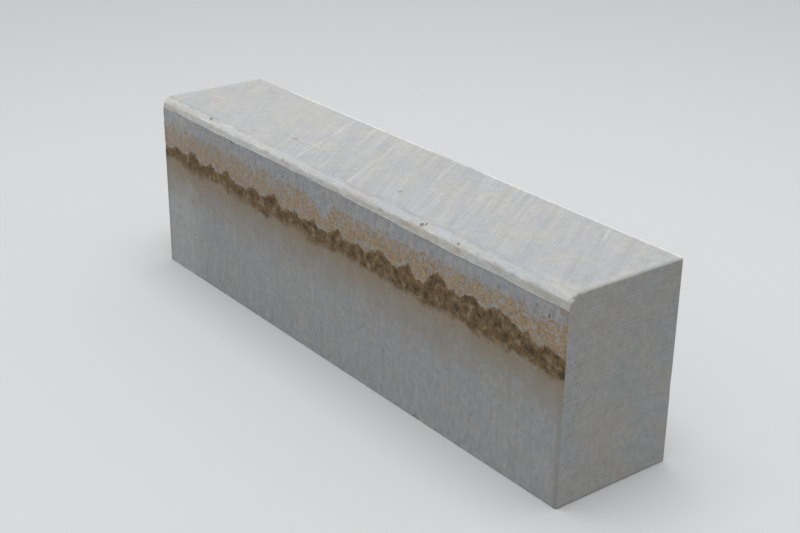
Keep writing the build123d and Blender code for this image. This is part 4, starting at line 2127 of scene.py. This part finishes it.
@dataclass(frozen=True)
class Studio:
    """Pale floor, soft light and the camera.

    Attributes:
        floor_width: Width of the floor, in metres.
        floor_seen: Colour of the floor as the camera sees it.
        floor_felt: Colour of the floor in the light that it throws back.
        sky_strength: Strength of the light from all round.
        sky_tint: Its colour.
        lamp_height: Height of the overhead lamp, in metres.
        lamp_width: Its width, in metres.
        lamp_power: Its power, in watts.
        lamp_tint: Colour of its light.
        stand: Place of the camera, in metres.
        aim: Point that it looks at, in metres.
        roll: How far it is rolled, in degrees.
        lens: Focal length, in millimetres.
        film: Width of the picture in the camera, in millimetres.
    """

    floor_width: float = 40.0
    floor_seen: Colour = (0.78, 0.785, 0.79)
    floor_felt: Colour = (0.22, 0.215, 0.205)
    sky_strength: float = 0.62
    sky_tint: Colour = (0.97, 0.985, 1.0)
    lamp_height: float = 3.2
    lamp_width: float = 2.0
    lamp_power: float = 37.0
    lamp_tint: Colour = (1.0, 0.995, 0.985)
    stand: tuple[float, float, float] = (1.571, -1.183, 0.996)
    aim: tuple[float, float, float] = (0.040, 0.0, 0.150)
    roll: float = 0.675
    lens: float = 63.0
    film: float = 36.0

    def floor(self) -> bpy.types.Object:
        """Lay the floor.

        Returns:
            The floor as an object.
        """
        half = self.floor_width / 2
        mesh = bpy.data.meshes.new("floor")
        corners = [(-half, -half, 0), (half, -half, 0), (half, half, 0), (-half, half, 0)]
        mesh.from_pydata(corners, [], [(0, 1, 2, 3)])
        material = bpy.data.materials.new("pale floor")
        material.use_nodes = True
        material.node_tree.nodes.clear()
        w = Wiring(material.node_tree)
        felt = w.node("ShaderNodeBsdfDiffuse", {"Color": (*self.floor_felt, 1.0)})
        seen = w.node("ShaderNodeBsdfDiffuse", {"Color": (*self.floor_seen, 1.0)})
        feeds = {0: w.background_share(), 1: felt.outputs[0], 2: seen.outputs[0]}
        mixed = w.node("ShaderNodeMixShader", feeds)
        w.node("ShaderNodeOutputMaterial", {"Surface": mixed.outputs[0]})
        mesh.materials.append(material)
        floor = bpy.data.objects.new("floor", mesh)
        bpy.context.scene.collection.objects.link(floor)
        return floor

    def light(self) -> None:
        """Set the light from all round and the overhead lamp."""
        world = bpy.data.worlds.new("soft light")
        world.use_nodes = True
        world.node_tree.nodes.clear()
        w = Wiring(world.node_tree)
        sky = {"Color": (*self.sky_tint, 1.0), "Strength": self.sky_strength}
        felt = w.node("ShaderNodeBackground", sky)
        seen = w.node("ShaderNodeBackground", {"Color": (*self.floor_seen, 1.0), "Strength": 1.0})
        feeds = {0: w.background_share(), 1: felt.outputs[0], 2: seen.outputs[0]}
        mixed = w.node("ShaderNodeMixShader", feeds)
        w.node("ShaderNodeOutputWorld", {"Surface": mixed.outputs[0]})
        bpy.context.scene.world = world
        lamp = bpy.data.lights.new("overhead lamp", "AREA")
        lamp.shape = "SQUARE"
        lamp.size = self.lamp_width
        lamp.energy = self.lamp_power
        lamp.color = self.lamp_tint
        holder = bpy.data.objects.new("overhead lamp", lamp)
        holder.location = (0.0, 0.0, self.lamp_height)
        bpy.context.scene.collection.objects.link(holder)

    def camera(self) -> None:
        """Stand the camera where the photograph was taken, with a longer lens."""
        data = bpy.data.cameras.new("camera")
        data.sensor_width = self.film
        data.lens = self.lens
        camera = bpy.data.objects.new("camera", data)
        camera.location = self.stand
        towards = Vector(self.aim) - Vector(self.stand)
        rolled = Quaternion((0, 0, 1), radians(self.roll))
        camera.rotation_mode = "QUATERNION"
        camera.rotation_quaternion = towards.to_track_quat("-Z", "Y") @ rolled
        bpy.context.scene.collection.objects.link(camera)
        bpy.context.scene.camera = camera


def main() -> None:
    """Build the stone, dress it and set the studio around it."""
    logging.basicConfig(level=logging.INFO, format="%(message)s")
    studio = Studio()
    studio.camera()
    studio.light()
    studio.floor()
    low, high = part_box(NODE)
    kerb = KerbStone(low * PER_METRE, high * PER_METRE)
    stone = kerb.build()
    finishes = {
        Side.TOP: GroundTop(),
        Side.NOSE: GroundNose(),
        Side.ROAD: RoadFace(),
        Side.SAWN: SawnFace(),
    }
    for side in Side:
        stone.data.materials.append(finishes[side].material())
    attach(stone, BODY)
    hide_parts(NODE)
    logging.info("%s: %d points, %d faces", stone.name, len(stone.data.vertices), len(stone.data.polygons))
    bpy.context.scene.view_settings.view_transform = "Standard"


if __name__ == "__main__":
    main()
